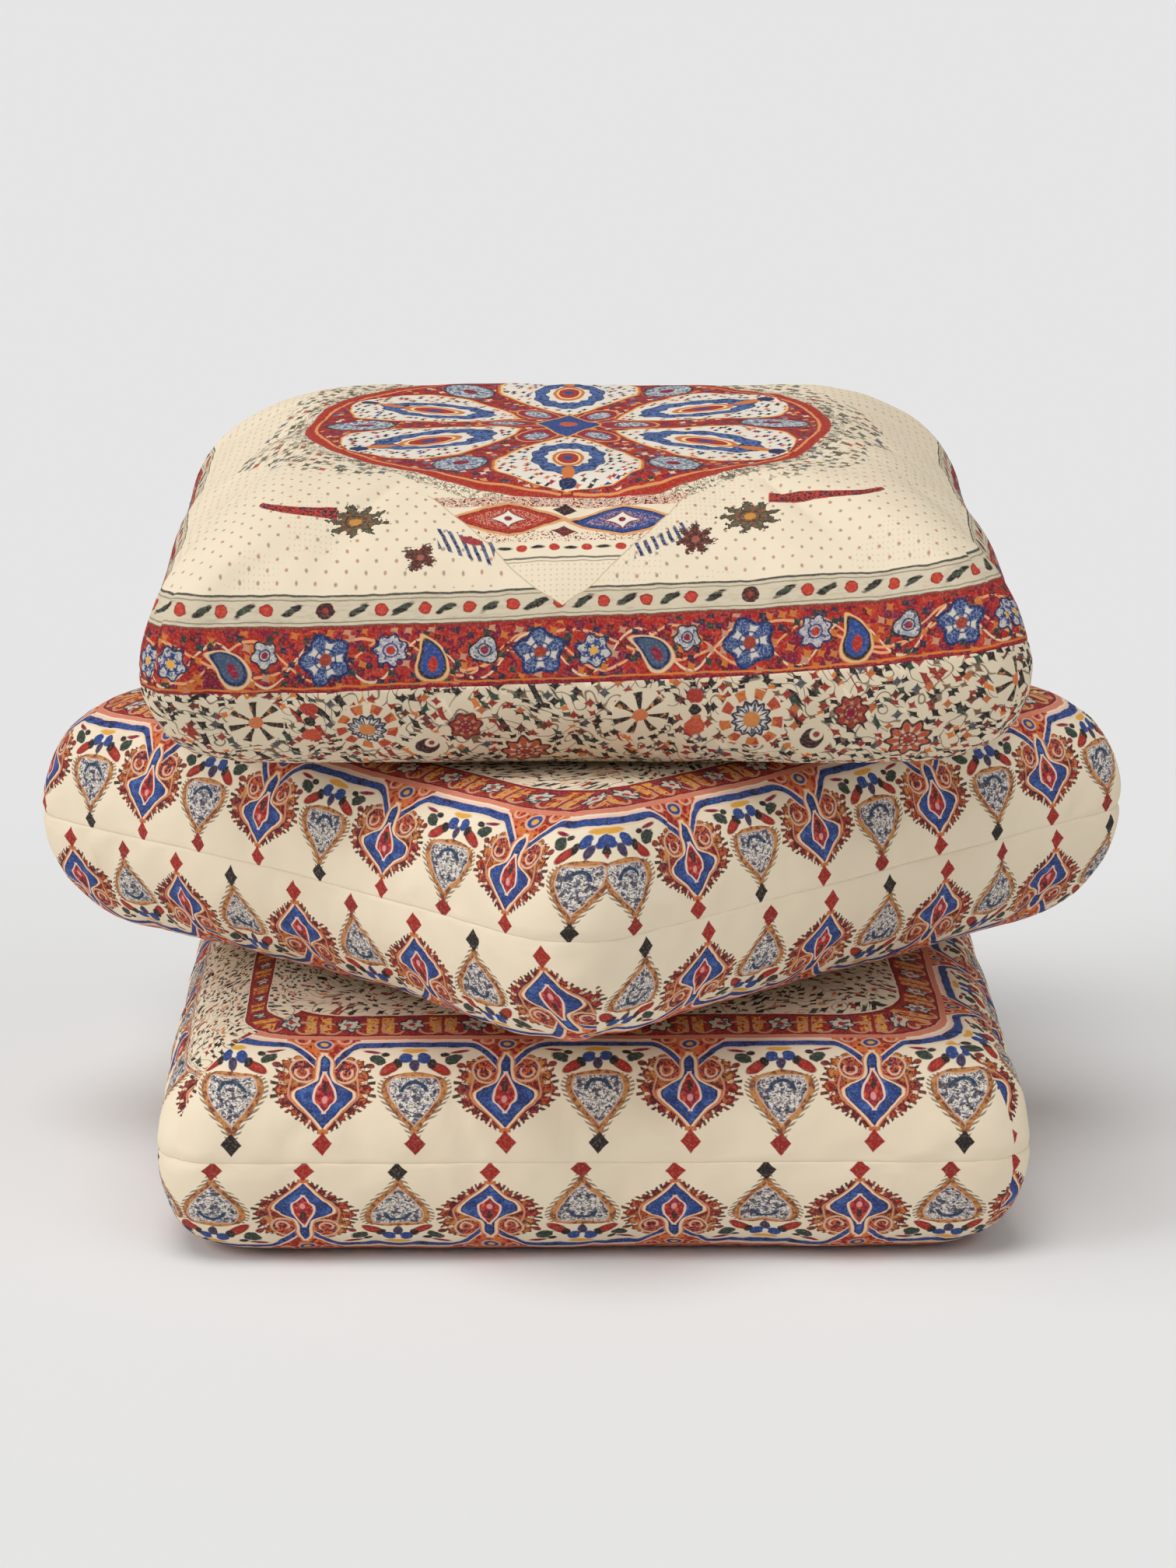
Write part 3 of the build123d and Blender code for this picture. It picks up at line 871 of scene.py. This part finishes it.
def paint_red_band(cloth, u, v):
    """The flowered red band over the top cover's seam. It repeats every 282."""
    u, v = cloth.later(u, v)
    b = wrap(u + 239, -18, 264)
    red = band(v, -1, 44.5)
    spot = cloth.mottle(u, v, 3.2, 3)
    patch = cloth.mottle(u, v, 13, 12)
    cloth.fill(v - 44.5, ramp(
        patch, (126, 28, 56), 0.42, (166, 40, 34), 0.56, (182, 56, 36), 0.63, (130, 28, 52)))
    for base, reach, wave, start, ink in (
        (22, 14, 94, 0.6, (226, 160, 112)),
        (20, 15, 70.5, 2.4, (222, 196, 160)),
        (24, 12, 141, 4, (226, 160, 112)),
    ):
        vine = v - base - sine(b * (2 * pi / wave) + start) * reach
        cloth.fill(abs(vine) - 1, ink, red)
    away, own = cloth.cells((u * 0.8 + v * 0.5, v * 0.7 - u * 0.4), 6.5, 0.9, 0.6)
    cloth.paint(below(away - 0.62, 0.12) * red, ramp(
        own, (196, 112, 50), 0.16, (112, 28, 50), 0.4, (54, 42, 62), 0.6, (190, 140, 110),
        0.67, (106, 30, 32), 0.86, (52, 60, 54)))
    pale = ramp(spot, (84, 92, 116), 0.42, (196, 190, 184), 0.56, (150, 150, 160))
    blues = ramp(spot, (44, 66, 122), 0.48, (120, 132, 152), 0.56, (50, 70, 124))
    big = (DARK_BLUE, blues, (206, 198, 188), (150, 60, 44))
    for at, radius, petals, inks, seed in (
        ((24, 27), 9, 5, (BLACK, pale, GREY_BLUE, CRIMSON), 0.4),
        ((66, 22.5), 16.5, 5, big, 1.2),
        ((109, 27), 11, 7, (DARK_BLUE, pale, (160, 150, 180), VERMILION), 2),
        ((172, 25), 10, 3, (BLACK, pale, GREY_BLUE, CRIMSON), 1),
        ((208, 22), 15.5, 5, big, 2.9),
        ((243, 21), 11, 6, (DARK_BLUE, pale, BLUE, YELLOW), 0),
    ):
        paint_flower(cloth, b, v, at, radius, petals, inks, seed)
    for at, radii, tilt, inks in (
        ((1, 20), (9.5, 17), 34, ((222, 186, 140), DARK_BLUE, (66, 84, 110), CRIMSON)),
        ((137, 20), (10.5, 17), -8, ((226, 176, 122), BLACK, BLUE, VERMILION)),
    ):
        paint_boteh(cloth, b, v, at, radii, tilt, inks)
    for low, high, ink in ((2.6, 4, ORANGE), (-2, 1.8, (150, 32, 50)), (42.6, 44.8, (150, 40, 36))):
        cloth.paint(band(v, low, high), ink)


def paint_guard(cloth, u, v):
    """The narrow pale band of dots and leaning leaves over the red one. Every 284 comes a dark lozenge."""
    u, v = cloth.later(u, v)
    grain = cloth.mottle(u * 0.3, v, 3, 22)
    cloth.paint(band(v, 44.5, 66.8), ramp(grain, (176, 164, 142), 0.5, (212, 199, 174), constant=False))
    for low, high, ink in (
        (44.2, 45.8, (112, 84, 70)), (47.6, 48.4, (138, 128, 108)),
        (62.8, 63.6, (138, 128, 108)), (65.6, 67.2, (80, 78, 68)),
    ):
        cloth.paint(band(v, low, high, 0.6), ink)
    b = wrap(u - 109, -142, 142)
    size = (grain - 0.5) * 3
    away = length(wrap(abs(b) - 38.6, -14.75, 14.75), v - 56)
    plain = (below(30 - abs(b)),)
    cloth.fill(away - 4.4 + size, (150, 44, 40), *plain)
    cloth.fill(away - 3.4 + size, (190, 62, 46), *plain)
    lozenge = length(b, v - 56)
    cloth.fill(lozenge - 6 + size, (74, 38, 38))
    cloth.fill(lozenge - 2, (150, 60, 52))
    leaf_at = wrap(abs(b) - 23, -14.75, 14.75) * calc("SIGN", b)
    leaf = ellipse(leaf_at, v, (0, 56), (7.4, 2.5), 30) + size
    cloth.fill(leaf, ramp(grain, BLACK, 0.5, (64, 74, 60)))


def paint_dots(cloth, x, y, where):
    """The field of small dots, set diagonally, with closer patches."""
    a, b = (x + y) * 0.7071, (x - y) * 0.7071
    dot = length(wrap(a, -4.6, 4.6), wrap(b, -4.6, 4.6)) - 1.05
    inks = ramp(cloth.mottle(x, y, 11, 41), (176, 92, 72), 0.5, (124, 112, 96))
    cloth.paint(below(dot, 0.9) * where * 0.75, inks)
    close = length(wrap(x, -1.7, 1.7), wrap(y, -1.7, 1.7)) - 0.5
    patch = below(0.57 - cloth.mottle(x, y, 80, 44), 0.03)
    cloth.paint(below(close, 0.6) * patch * where * 0.3, (150, 136, 112))


def paint_medallion(cloth, x, y):
    """The six-petalled medallion. It is printed a little longer from front to back than it is wide."""
    x = (x + 8.5) * 1.077
    y = y * 0.914
    r = length(x, y)
    fold = abs(wrap(angle(x, y * -1), -pi / 6, pi / 6))
    along, across = r * calc("COSINE", fold), r * sine(fold)
    between = fold * -1 + pi / 6
    far_along, far_across = r * calc("COSINE", between), r * sine(between)
    spot = cloth.mottle(x, y, 3.6, 51)
    patch = cloth.mottle(x, y, 9, 55)
    # The wreath of grey leaves outside the ring, open in front
    away, own = cloth.cells((x * 0.9 + y * 0.3, y * 0.8 - x * 0.3), 9)
    outer = cloth.mottle(x, y, 60, 52)
    wreath = band(r + (outer - 0.5) * 60, 203, 246) * below(-176 - y, 6)
    cloth.paint(wreath * below(away - 0.56, 0.1), ramp(
        own, (120, 116, 100), 0.45, (150, 136, 110), 0.62, (170, 84, 66),
        0.72, (104, 110, 126), 0.82, (96, 92, 78)))
    cloth.paint(band(r, 203, 214) * below(abs(spot - 0.5) - 0.035, 0.03), (108, 102, 86))
    # The ring and the red ground
    x, y, r = cloth.later(x, y, r)
    cloth.layers(r, (203, (170, 58, 46)), (201, VERMILION), (195, (226, 150, 90)),
                 (192.5, ramp(patch, CRIMSON, 0.46, VERMILION, 0.6, (160, 40, 44))))
    bits, own_bit = cloth.cells((x * 0.9 - y * 0.4, y * 0.8 + x * 0.4), 7.5)
    cloth.paint(below(r - 191) * below(bits - 0.56, 0.1), ramp(
        own_bit, (220, 150, 90), 0.24, (70, 60, 80), 0.42, (226, 206, 180), 0.56, (130, 30, 44),
        0.74, (96, 116, 150), 0.86, (56, 60, 56)))
    # The flower between two petals
    pale = ramp(spot, (88, 104, 132), 0.44, GREY_BLUE, 0.52, (214, 214, 210), 0.62, (120, 132, 130))
    bud = ellipse(far_along, far_across, (160, 0), (25, 17)) + spot * 7 - 3.5
    cloth.layers(bud, (1.6, BLACK), (0, pale))
    cloth.spots(far_along, far_across, ((158, 0), (8, 5), 0, CRIMSON))
    # The white petals
    x, y = cloth.later(x, y)
    along, across = cloth.later(along, across)
    petal = outline(across, along, (44, 0), (58, 14), (80, 29), (110, 45), (134, 54), (152, 54), (170, 44),
                    (184, 26), (191, 0))
    cloth.layers(petal, (4.6, (150, 34, 40)), (3, ORANGE), (1, (240, 206, 150)))
    white = below(petal + 1)
    cloth.paint(white, WHITE)
    cell, own = cloth.cells((x * 0.9, y * 0.8 - x * 0.5), 7, 1, 0.65)
    cloth.paint(white * below(cell - 0.46, 0.1), ramp(
        own, BLACK, 0.3, (170, 50, 60), 0.5, GREEN, 0.66, BLUE, 0.8, (206, 110, 70)))
    from_eye = (along - 118) * 0.56
    halo = length(from_eye, across)
    cloth.fill(halo - 31, WHITE, white)
    shell = abs(halo - 23) - 4.6 - sine(angle(across, from_eye) * 11) * 1.1
    blues = ramp(spot, DARK_BLUE, 0.46, (78, 108, 164))
    cloth.layers(shell, (0.9, (58, 60, 84)), (0, blues), where=(white,))
    drop = ellipse(along, across, (122, 0), (27, 12.5))
    cloth.layers(drop, (0, ORANGE), (-2.6, (246, 216, 160)), (-4, VERMILION), (-9, BLUE))
    cloth.spots(along, across, ((164, 0), (14, 5), 0, ORANGE), ((182, 0), (7, 7), 0, DARK_BLUE))
    # The middle, with its small petals
    x, y, far_along, far_across = cloth.later(x, y, far_along, far_across)
    small = ellipse(far_along, far_across, (46, 0), (22, 13))
    cloth.layers(small, (1.6, (226, 150, 90)), (0, (150, 40, 60)))
    cloth.spots(far_along, far_across, ((48, 0), (13, 8), 0, pale))
    cloth.layers(diamond(abs(x), abs(y), (0, 0), (24, 44), 1), (2, YELLOW), (0, BLUE))
    cloth.spots(x, y, ((0, 0), (7, 10), 0, (196, 90, 70)))


def paint_pendant(cloth, u, v, front):
    """What lies before the medallion: a pointed patch with its lozenges and rows, and broken fringes."""
    u, v = cloth.later(u, v)
    edge = abs(u + 16) - curve(v, (53, 0), (72, 24), (101, 49), (138, 80), (162, 100), (180, 112))
    patch = below(edge) * below(53 - v) * front * below(v - 147)
    inside = (patch,)
    cloth.paint(patch, CREAM)
    spot = cloth.mottle(u, v, 3.2, 61)
    small_spot = cloth.mottle(u, v * 1.3, 2.2, 63)
    weave = length(wrap(u, -2, 2), wrap(v, -2, 2)) - 0.6
    cloth.paint(below(weave, 0.7) * patch * below(v - 87) * 0.45, (150, 136, 112))
    cloth.paint(patch * band(v, 137, 147), ramp(
        small_spot, (90, 50, 60), 0.40, (196, 96, 60), 0.46, CREAM, 0.55, (170, 60, 52), 0.60, CREAM,
        0.64, (110, 118, 140)))
    cloth.paint(patch * band(v, 104, 114), ramp(
        small_spot, (110, 50, 46), 0.37, CREAM, 0.60, (190, 80, 56), 0.66, (80, 60, 60)))
    for at, radii, ink, dark in (
        ((-53, 125), (37, 13.5), VERMILION, (140, 46, 44)),
        ((25, 123), (34, 13), BLUE, DARK_BLUE),
    ):
        u, v = cloth.later(u, v)
        lozenge = diamond(u, v, at, radii, 1.15)
        cloth.layers(lozenge, (2.4, (222, 160, 104)), (0, dark), (-1.4, ink), where=inside)
        cloth.fill(lozenge + 4, PINK, patch, below(abs(small_spot - 0.52) - 0.03, 0.04))
        cloth.layers(diamond(u, v, at, (12, 8), 0.7), (1.2, (130, 50, 50)), (0, WHITE), where=inside)
        cloth.spots(u, v, (at, (2.4, 2.2), 0, CRIMSON), where=inside)
    cloth.fill(diamond(u, v, (-14, 134), (8, 6), 1), (60, 36, 40), patch)
    cloth.fill(diamond(u, v, (-14, 113), (9, 5), 0.9), (110, 46, 46), patch)
    u, v = cloth.later(u, v)
    dash = wrap(u + 44, -11.3, 11.3)
    cloth.spots(dash, v, ((0, 98.6), (3.6, 3), 0, (186, 58, 44)), where=inside)
    cloth.spots(abs(dash), v, ((11.3, 98.6), (5, 1.4), 0, BLACK), where=inside)
    cloth.paint(band(v, 89, 90.6) * patch, (110, 106, 96))
    cloth.paint(band(v, 86.4, 87.2) * patch, (160, 150, 130))
    rim = below(abs(edge) - 0.6) * below(v - 150) * below(55 - v) * front
    cloth.paint(rim * 0.7, (196, 168, 128))

    # The broken ends of other blocks on both sides
    u, v = cloth.later(u, v)
    tooth = below(abs(wrap(u + v * 0.35, -2.9, 2.9)) - 1.3)
    tines = ramp(spot, (44, 52, 92), 0.48, (104, 116, 146), 0.56, (70, 66, 84))
    slope = v + (u + 81) * 0.39
    left = band(u, -100, -62) * below(abs(slope - 101) - 6 - spot * 6) * front
    cloth.paint(left * tooth, tines)
    cloth.spots(u, v, ((-78, 106), (8, 3), -20, (160, 56, 60)), where=(front,))
    rise = v - (u - 48) * 0.55
    right = band(u, 33, 68) * below(abs(rise - 102) - 4 - spot * 6) * front
    cloth.paint(right * tooth, tines)
    small = ((60, 48, 44), (92, 48, 44), (130, 60, 52), (160, 90, 74))
    yellow = ((62, 56, 48), (92, 84, 64), (150, 84, 58), (200, 140, 60))
    for at, radius, petals, inks, seed, tall, rough in (
        ((-111, 93), 9, 4, small, 0.5, 1, small_spot),
        ((73, 103), 11, 7, small, 0, 1, small_spot),
        ((-154, 180), 17, 9, yellow, 0.8, 1.4, spot),
        ((111, 169), 17, 9, yellow, 2, 1.4, spot),
    ):
        paint_flower(cloth, u, v * tall, at, radius, petals, inks, seed, (front,), rough)
    u, v = cloth.later(u, v)
    left = band(u, -224, -167) * below(abs(v - 137 + (u + 195) * 0.09) - 5.5 - (u + 167) * 0.06)
    right = band(u, 124, 208) * below(abs(v - 138 + (u - 165) * 0.02) - 5.5 + (u - 124) * 0.045)
    cloth.paint(calc("MAXIMUM", left, right) * front, ramp(
        spot, (80, 40, 44), 0.44, (186, 56, 42), 0.56, (120, 48, 48), 0.62, DARK_BLUE))


def medallion_cotton():
    """The top cover's upper cloth. v runs up from the askew seam: a red band, a guard, the dotted field."""
    cloth = Cloth("medallion_cotton")
    u0, v0 = cloth.map("cloth")
    x0, y0 = cloth.map("plan")
    side_u, v = sway(cloth, u0, v0, 2)
    x, y = sway(cloth, x0, y0, 5)
    u = wrap(side_u, -500, 500)
    paint_dots(cloth, x, y, below(70 - v))
    paint_medallion(cloth, x, y)
    paint_guard(cloth, u, v)
    paint_pendant(cloth, u, v, below(abs(u0) - 450))
    paint_red_band(cloth, u, v)
    return cloth.finish(u0, v0)


def field_cotton():
    """The top cover's lower cloth: thin scrolls and leaves, and a run of rosettes that comes every 256."""
    cloth = Cloth("field_cotton", FIELD_CREAM)
    u0, v0 = cloth.map("cloth")
    u, v = sway(cloth, u0, v0, 5)
    u = wrap(u, -500, 500)
    paint_scroll_field(cloth, u, v, 30)
    away, own = cloth.cells((u, v * 1.1), 13, 1, 0.7)
    cloth.paint(below(away - 0.34, 0.1), ramp(
        own, (150, 56, 46), 0.3, BLACK, 0.55, (186, 104, 62), 0.64, (104, 54, 48), 0.84, (84, 84, 92)))
    b = wrap(u - 110, -128, 128)
    spot = cloth.mottle(u, v, 3, 71)
    pale = ramp(spot, (92, 96, 112), 0.44, (196, 190, 180), 0.52, (220, 210, 196))

    def clear(at, radius):
        cloth.fill(length(b - at[0], v - at[1]) - radius + spot * 5 - 2.5, FIELD_CREAM)

    # The disc in its ring of blocks
    clear((0, 30), 22)
    away = length(b, v - 30)
    turn = angle(v - 30, b)
    blocks = below(abs(away - 17.4) - 3.4) * below(-0.25 - sine(turn * 9), 0.3)
    cloth.paint(blocks, ramp(cloth.mottle(u, v, 16, 73), (200, 112, 56), 0.5, (178, 72, 50)))
    rays = sine(turn * 13)
    cloth.fill(away - 12.6 - rays * 1.2, (56, 54, 72))
    cloth.fill(away - 10.4 - rays * 1.4, pale)
    cloth.fill(away - 11.4, (60, 60, 84), below(rays * -1 + 0.75, 0.2))
    cloth.fill(away - 5.6, (206, 132, 72))
    # The dark star of leaves
    clear((-75, 23), 19)
    star_u = (b + 75) * 0.85
    away = length(star_u, v - 23)
    rays = sine(angle(v - 23, star_u) * 7 + 0.7)
    star = below(away - 16) * below(4 - away) * below(0.45 - rays, 0.3)
    cloth.paint(star, ramp(spot, BLACK, 0.5, (74, 58, 48), 0.6, (200, 130, 80)))
    cloth.fill(away - 4.4, (206, 118, 74))
    # Red squares, the dark curl and the lesser flowers
    for up, radii, ink in ((34, (7, 6), (190, 80, 56)), (12, (6, 5), (168, 60, 50)), (22, (4, 4), BLACK)):
        cloth.fill(ellipse(b, v, (-38, up), radii) + spot * 3 - 1.5, ink)
    clear((40, 48), 13)
    hole = length(b - 43, v - 45)
    cloth.fill(length(b - 40, v - 48) - 9 + spot * 2, (66, 40, 44), below(4.6 - hole))
    cloth.fill(hole - 2.2, (150, 60, 56))
    inks = ((74, 44, 42), (150, 56, 50), (200, 130, 96), CRIMSON)
    paint_flower(cloth, b, v, (66, 30), 11, 7, inks, 0.3)
    clear((106, 56), 17)
    inks = ((60, 44, 44), (182, 84, 56), (206, 190, 170), (150, 56, 50))
    paint_flower(cloth, b, v, (106, 56), 15, 9, inks, 1.3)
    return cloth.finish(u0, v0)


def zip_axes(skin):
    turn = skin.turn + pi
    return np.array([cos(turn), sin(turn), 0.0]), np.array([sin(turn), -cos(turn), 0.0])


def local_box(skin, node):
    """A CAD node's low and high corner as (along its zip, out from the pouf's middle, up)."""
    points = read(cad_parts[node].data.vertices, "co", np.float32, 3).astype(float) * 1000
    centred = points - np.array([skin.aside, 0, 0])
    along, out = zip_axes(skin)
    local = np.stack([centred @ along, centred @ out, points[:, 2]], 1)
    return local.min(axis=0), local.max(axis=0)


def swept(skin, name, material, ring):
    """A tube: ring holds the section's points round each place, as an array (places, section, 3)."""
    places, section = ring.shape[:2]
    faces = []
    for i in range(places - 1):
        for j in range(section):
            k = (j + 1) % section
            faces.append((i * section + j, i * section + k, (i + 1) * section + k, (i + 1) * section + j))
    faces.append(tuple(range(section))[::-1])
    faces.append(tuple(range((places - 1) * section, places * section)))
    along, out = zip_axes(skin)
    local = ring.reshape(-1, 3)
    points = local[:, :1] * along + local[:, 1:2] * out + local[:, 2:] * np.array([0, 0, 1.0])
    return new_object(name, points + np.array([skin.aside, 0, 0]), faces, material)


def make_coil(skin, half, material):
    """One row of the zip: a wire wound into a long flat spiral."""
    node = skin.name + "_zip_coil_" + half
    low, high = local_box(skin, node)
    wire = 0.34
    pitch = 1.5
    turns = int((high[0] - low[0] - 2 * wire) / pitch)
    round_wire = np.linspace(0, 2 * pi * turns, turns * WIRE_PLACES + 1)
    centre = (low + high) / 2
    reach = (high - low) / 2 - wire
    path = [centre[0] - turns * pitch / 2 + round_wire / (2 * pi) * pitch]
    sides = (np.sin(round_wire), np.cos(round_wire))
    flat = 1.0 / np.maximum(abs(sides[1]), abs(sides[0])) ** 0.6
    for axis, swing in zip((1, 2), sides):
        path.append(centre[axis] + reach[axis] * swing * np.minimum(flat, 1.0 / (abs(swing) + 1e-6)))
    path = np.stack(path, 1)
    way = np.gradient(path, axis=0)
    way /= np.linalg.norm(way, axis=1, keepdims=True)
    side = np.cross(way, [1.0, 0, 0])
    side /= np.linalg.norm(side, axis=1, keepdims=True)
    lift = np.cross(side, way)
    turn = np.linspace(0, 2 * pi, 5, endpoint=False)[None, :, None]
    ring = path[:, None] + wire * (np.cos(turn) * side[:, None] + np.sin(turn) * lift[:, None])
    made = swept(skin, "wound_" + node, material, ring)
    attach(made, skin.name + "_pouf")
    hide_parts(node)


def make_tape(skin, half, material):
    """A woven tape: thin, with a thicker woven edge under the coil."""
    node = skin.name + "_zip_tape_" + half
    low, high = local_box(skin, node)
    seam_edge, far_edge = (low[2], high[2]) if half == "upper" else (high[2], low[2])
    shares = (0.0, 0.02, 0.1, 0.22, 0.3, 0.6, 0.94, 0.985, 1.0)
    cuts = (0.25, 0.0, 0.0, 0.04, 0.12, 0.14, 0.12, 0.16, 0.3)
    section = [(share, 1 - cut) for share, cut in zip(shares, cuts)]
    section += [(share, cut * 0.8) for share, cut in zip(shares[::-1], cuts[::-1])]
    ring = np.empty((TAPE_PLACES, len(section), 3))
    ring[..., 0] = np.linspace(low[0], high[0], TAPE_PLACES)[:, None]
    for j, (share, depth) in enumerate(section):
        ring[:, j, 1] = low[1] + (high[1] - low[1]) * depth * 0.96
        ring[:, j, 2] = seam_edge + (far_edge - seam_edge) * share
    if half == "lower":
        ring = ring[:, ::-1]
    made = swept(skin, "woven_" + node, material, ring)
    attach(made, skin.name + "_pouf")
    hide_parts(node)


def make_camera():
    made = bpy.data.cameras.new("camera")
    made.lens = 114.5
    made.clip_end = 60
    camera = bpy.data.objects.new("camera", made)
    camera.location = (0.00555, -3.544, 1.1374)
    camera.rotation_euler = (radians(90 - 13.77), 0, 0)
    bpy.context.scene.collection.objects.link(camera)
    bpy.context.scene.camera = camera


def make_stage():
    """A plain floor that fills the picture, daylight from all round and three broad lamps."""
    size = 40000.0
    corners = [(-size, -size, 0), (size, -size, 0), (size, size, 0), (-size, size, 0)]
    paper = bpy.data.materials.new("floor_paper")
    paper.use_nodes = True
    shader = paper.node_tree.nodes["Principled BSDF"]
    shader.inputs["Base Color"].default_value = linear((234, 234, 234))
    shader.inputs["Roughness"].default_value = 1.0
    shader.inputs["Specular IOR Level"].default_value = 0.0
    floor = new_object("floor", corners, [(0, 1, 2, 3)], paper)
    world = bpy.data.worlds.new("daylight")
    bpy.context.scene.world = world
    world.use_nodes = True
    tree = world.node_tree
    back = tree.nodes["Background"]
    back.inputs[0].default_value = (1.0, 1.0, 1.0, 1.0)
    back.inputs[1].default_value = 0.33
    seen = tree.nodes.new("ShaderNodeBackground")
    seen.inputs[0].default_value = linear((229, 229, 229))
    mix = tree.nodes.new("ShaderNodeMixShader")
    camera_ray = tree.nodes.new("ShaderNodeLightPath").outputs["Is Camera Ray"]
    for socket, source in zip(mix.inputs, (camera_ray, back.outputs[0], seen.outputs[0])):
        tree.links.new(source, socket)
    tree.links.new(mix.outputs[0], tree.nodes["World Output"].inputs["Surface"])
    for name, strength, spread, toward in (
        ("overhead", 1.25, 32, (-0.12, -0.28, 1.0)),
        ("key", 1.25, 40, (-0.85, -0.27, 0.46)),
        ("fill", 0.48, 60, (0.80, -0.55, 0.45)),
    ):
        lamp = bpy.data.lights.new(name, "SUN")
        lamp.energy = strength
        lamp.angle = radians(spread)
        made = bpy.data.objects.new(name, lamp)
        made.rotation_euler = Vector(toward).to_track_quat("Z", "Y").to_euler()
        bpy.context.scene.collection.objects.link(made)


def shift_print(offsets, scale, rise, rise_at, gather=0.0, left_band=0.0):
    """The print's u and v from p and h: an offset and a scale for each side, and v on from rise at rise_at.
    The left side's print is gathered at the front corner, or has only a narrow band at left_band."""
    def to_print(side, p, h):
        u = (p - offsets[side]) * scale[side]
        v = 15 + rise * (abs(h) - rise_at)
        if side == 3:
            u = u + gather * smooth_step(232, 282, p)
            if left_band:
                v = np.where(h < 62, v, 117.5 + 1.8 * abs(h - left_band))
        return u, np.maximum(v, 15 - rise * rise_at)
    return to_print


def top_print(side, p, h):
    """The top cover's print: each side has its own thousand along u, and v runs from the askew seam."""
    return p + 1000.0 * side, abs(h - seam_shift(TOP, side, p))


make_camera()
make_stage()
bpy.context.scene.view_settings.view_transform = "Standard"

for skin in SKINS:
    skin.pushed = fill_cloth(skin)

border = lambrequin()
medallion = medallion_cotton()
field = field_cotton()
calico = plain_cloth("calico", (226, 216, 196), 3.0, 0.3)
wadding = plain_cloth("wadding", (240, 238, 232), 9.0, 2.0, 0.6)
foam = plain_cloth("foam", (226, 206, 150), 1.6, 0.5)
tape = plain_cloth("zip_tape", (222, 208, 180), 1.2, 0.2, 0.5)
coil = plain_cloth("zip_coil", (232, 222, 198), 6.0, 0.05, 0.1, 0.4)
brass = metal("zip_metal", (176, 150, 104))

COVERS = (
    (BOTTOM, 1, border, shift_print((2.4, 20, -31, -12), (1.0, 1.0, 1.0, 1.0), 1.0, 15, 0.0, 112.0), 0),
    (BOTTOM, -1, border, shift_print((-135, 26, -60, 8), (0.99,) * 4, 1.176, 6), 0),
    (MIDDLE, 1, border, shift_print((-117.1, 14, -40, 44.6), (1.037, 1.0, 1.0, 1.006), 1.09, 7, 13.0), 3),
    (MIDDLE, -1, border, shift_print((11.7, -30, 22, -44.4), (1.05, 1.0, 1.0, 1.026), 1.05, 12), 2),
    (TOP, 1, medallion, top_print, 0),
    (TOP, -1, field, top_print, 0),
)
for skin, way, material, to_print, lap in COVERS:
    half = "upper" if way > 0 else "lower"
    node = skin.name + "_cover_" + half
    cover = make_cover(skin, way, "printed_" + node, material, to_print, lap)
    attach(cover, skin.name + "_pouf")
    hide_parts(node)
    ("lambrequin_cotton" if skin is not TOP else (
        "medallion_cotton" if way > 0 else "field_cotton"))

for skin in SKINS:
    body = skin.name + "_pouf"
    pads = (
        (make_whole(skin, skin.name + "_calico_casing", calico, 1.3 + SEAM_ALLOWANCE, 0.8),
         "calico", 0.7, ("_casing_lower", "_casing_upper")),
        (make_whole(skin, skin.name + "_wadding_wrap", wadding, 2.4 + SEAM_ALLOWANCE, 18.0, 1.0, 0.0),
         "wadding", 0.6, ("_wadding_lower", "_wadding_upper")),
        (make_whole(skin, skin.name + "_foam_block", foam, 20.7 + SEAM_ALLOWANCE, 0, 0.0),
         "foam", 0.95, ("_foam_core",)),
    )
    for pad, slot, fill, nodes in pads:
        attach(pad, body)
        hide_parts(*(skin.name + node for node in nodes))
    for half in ("lower", "upper"):
        make_coil(skin, half, coil)
        make_tape(skin, half, tape)
    for part in ("stops", "slider", "pull"):
        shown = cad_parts[skin.name + "_zip_" + part]
        shown.data.materials.clear()
        shown.data.materials.append(brass)
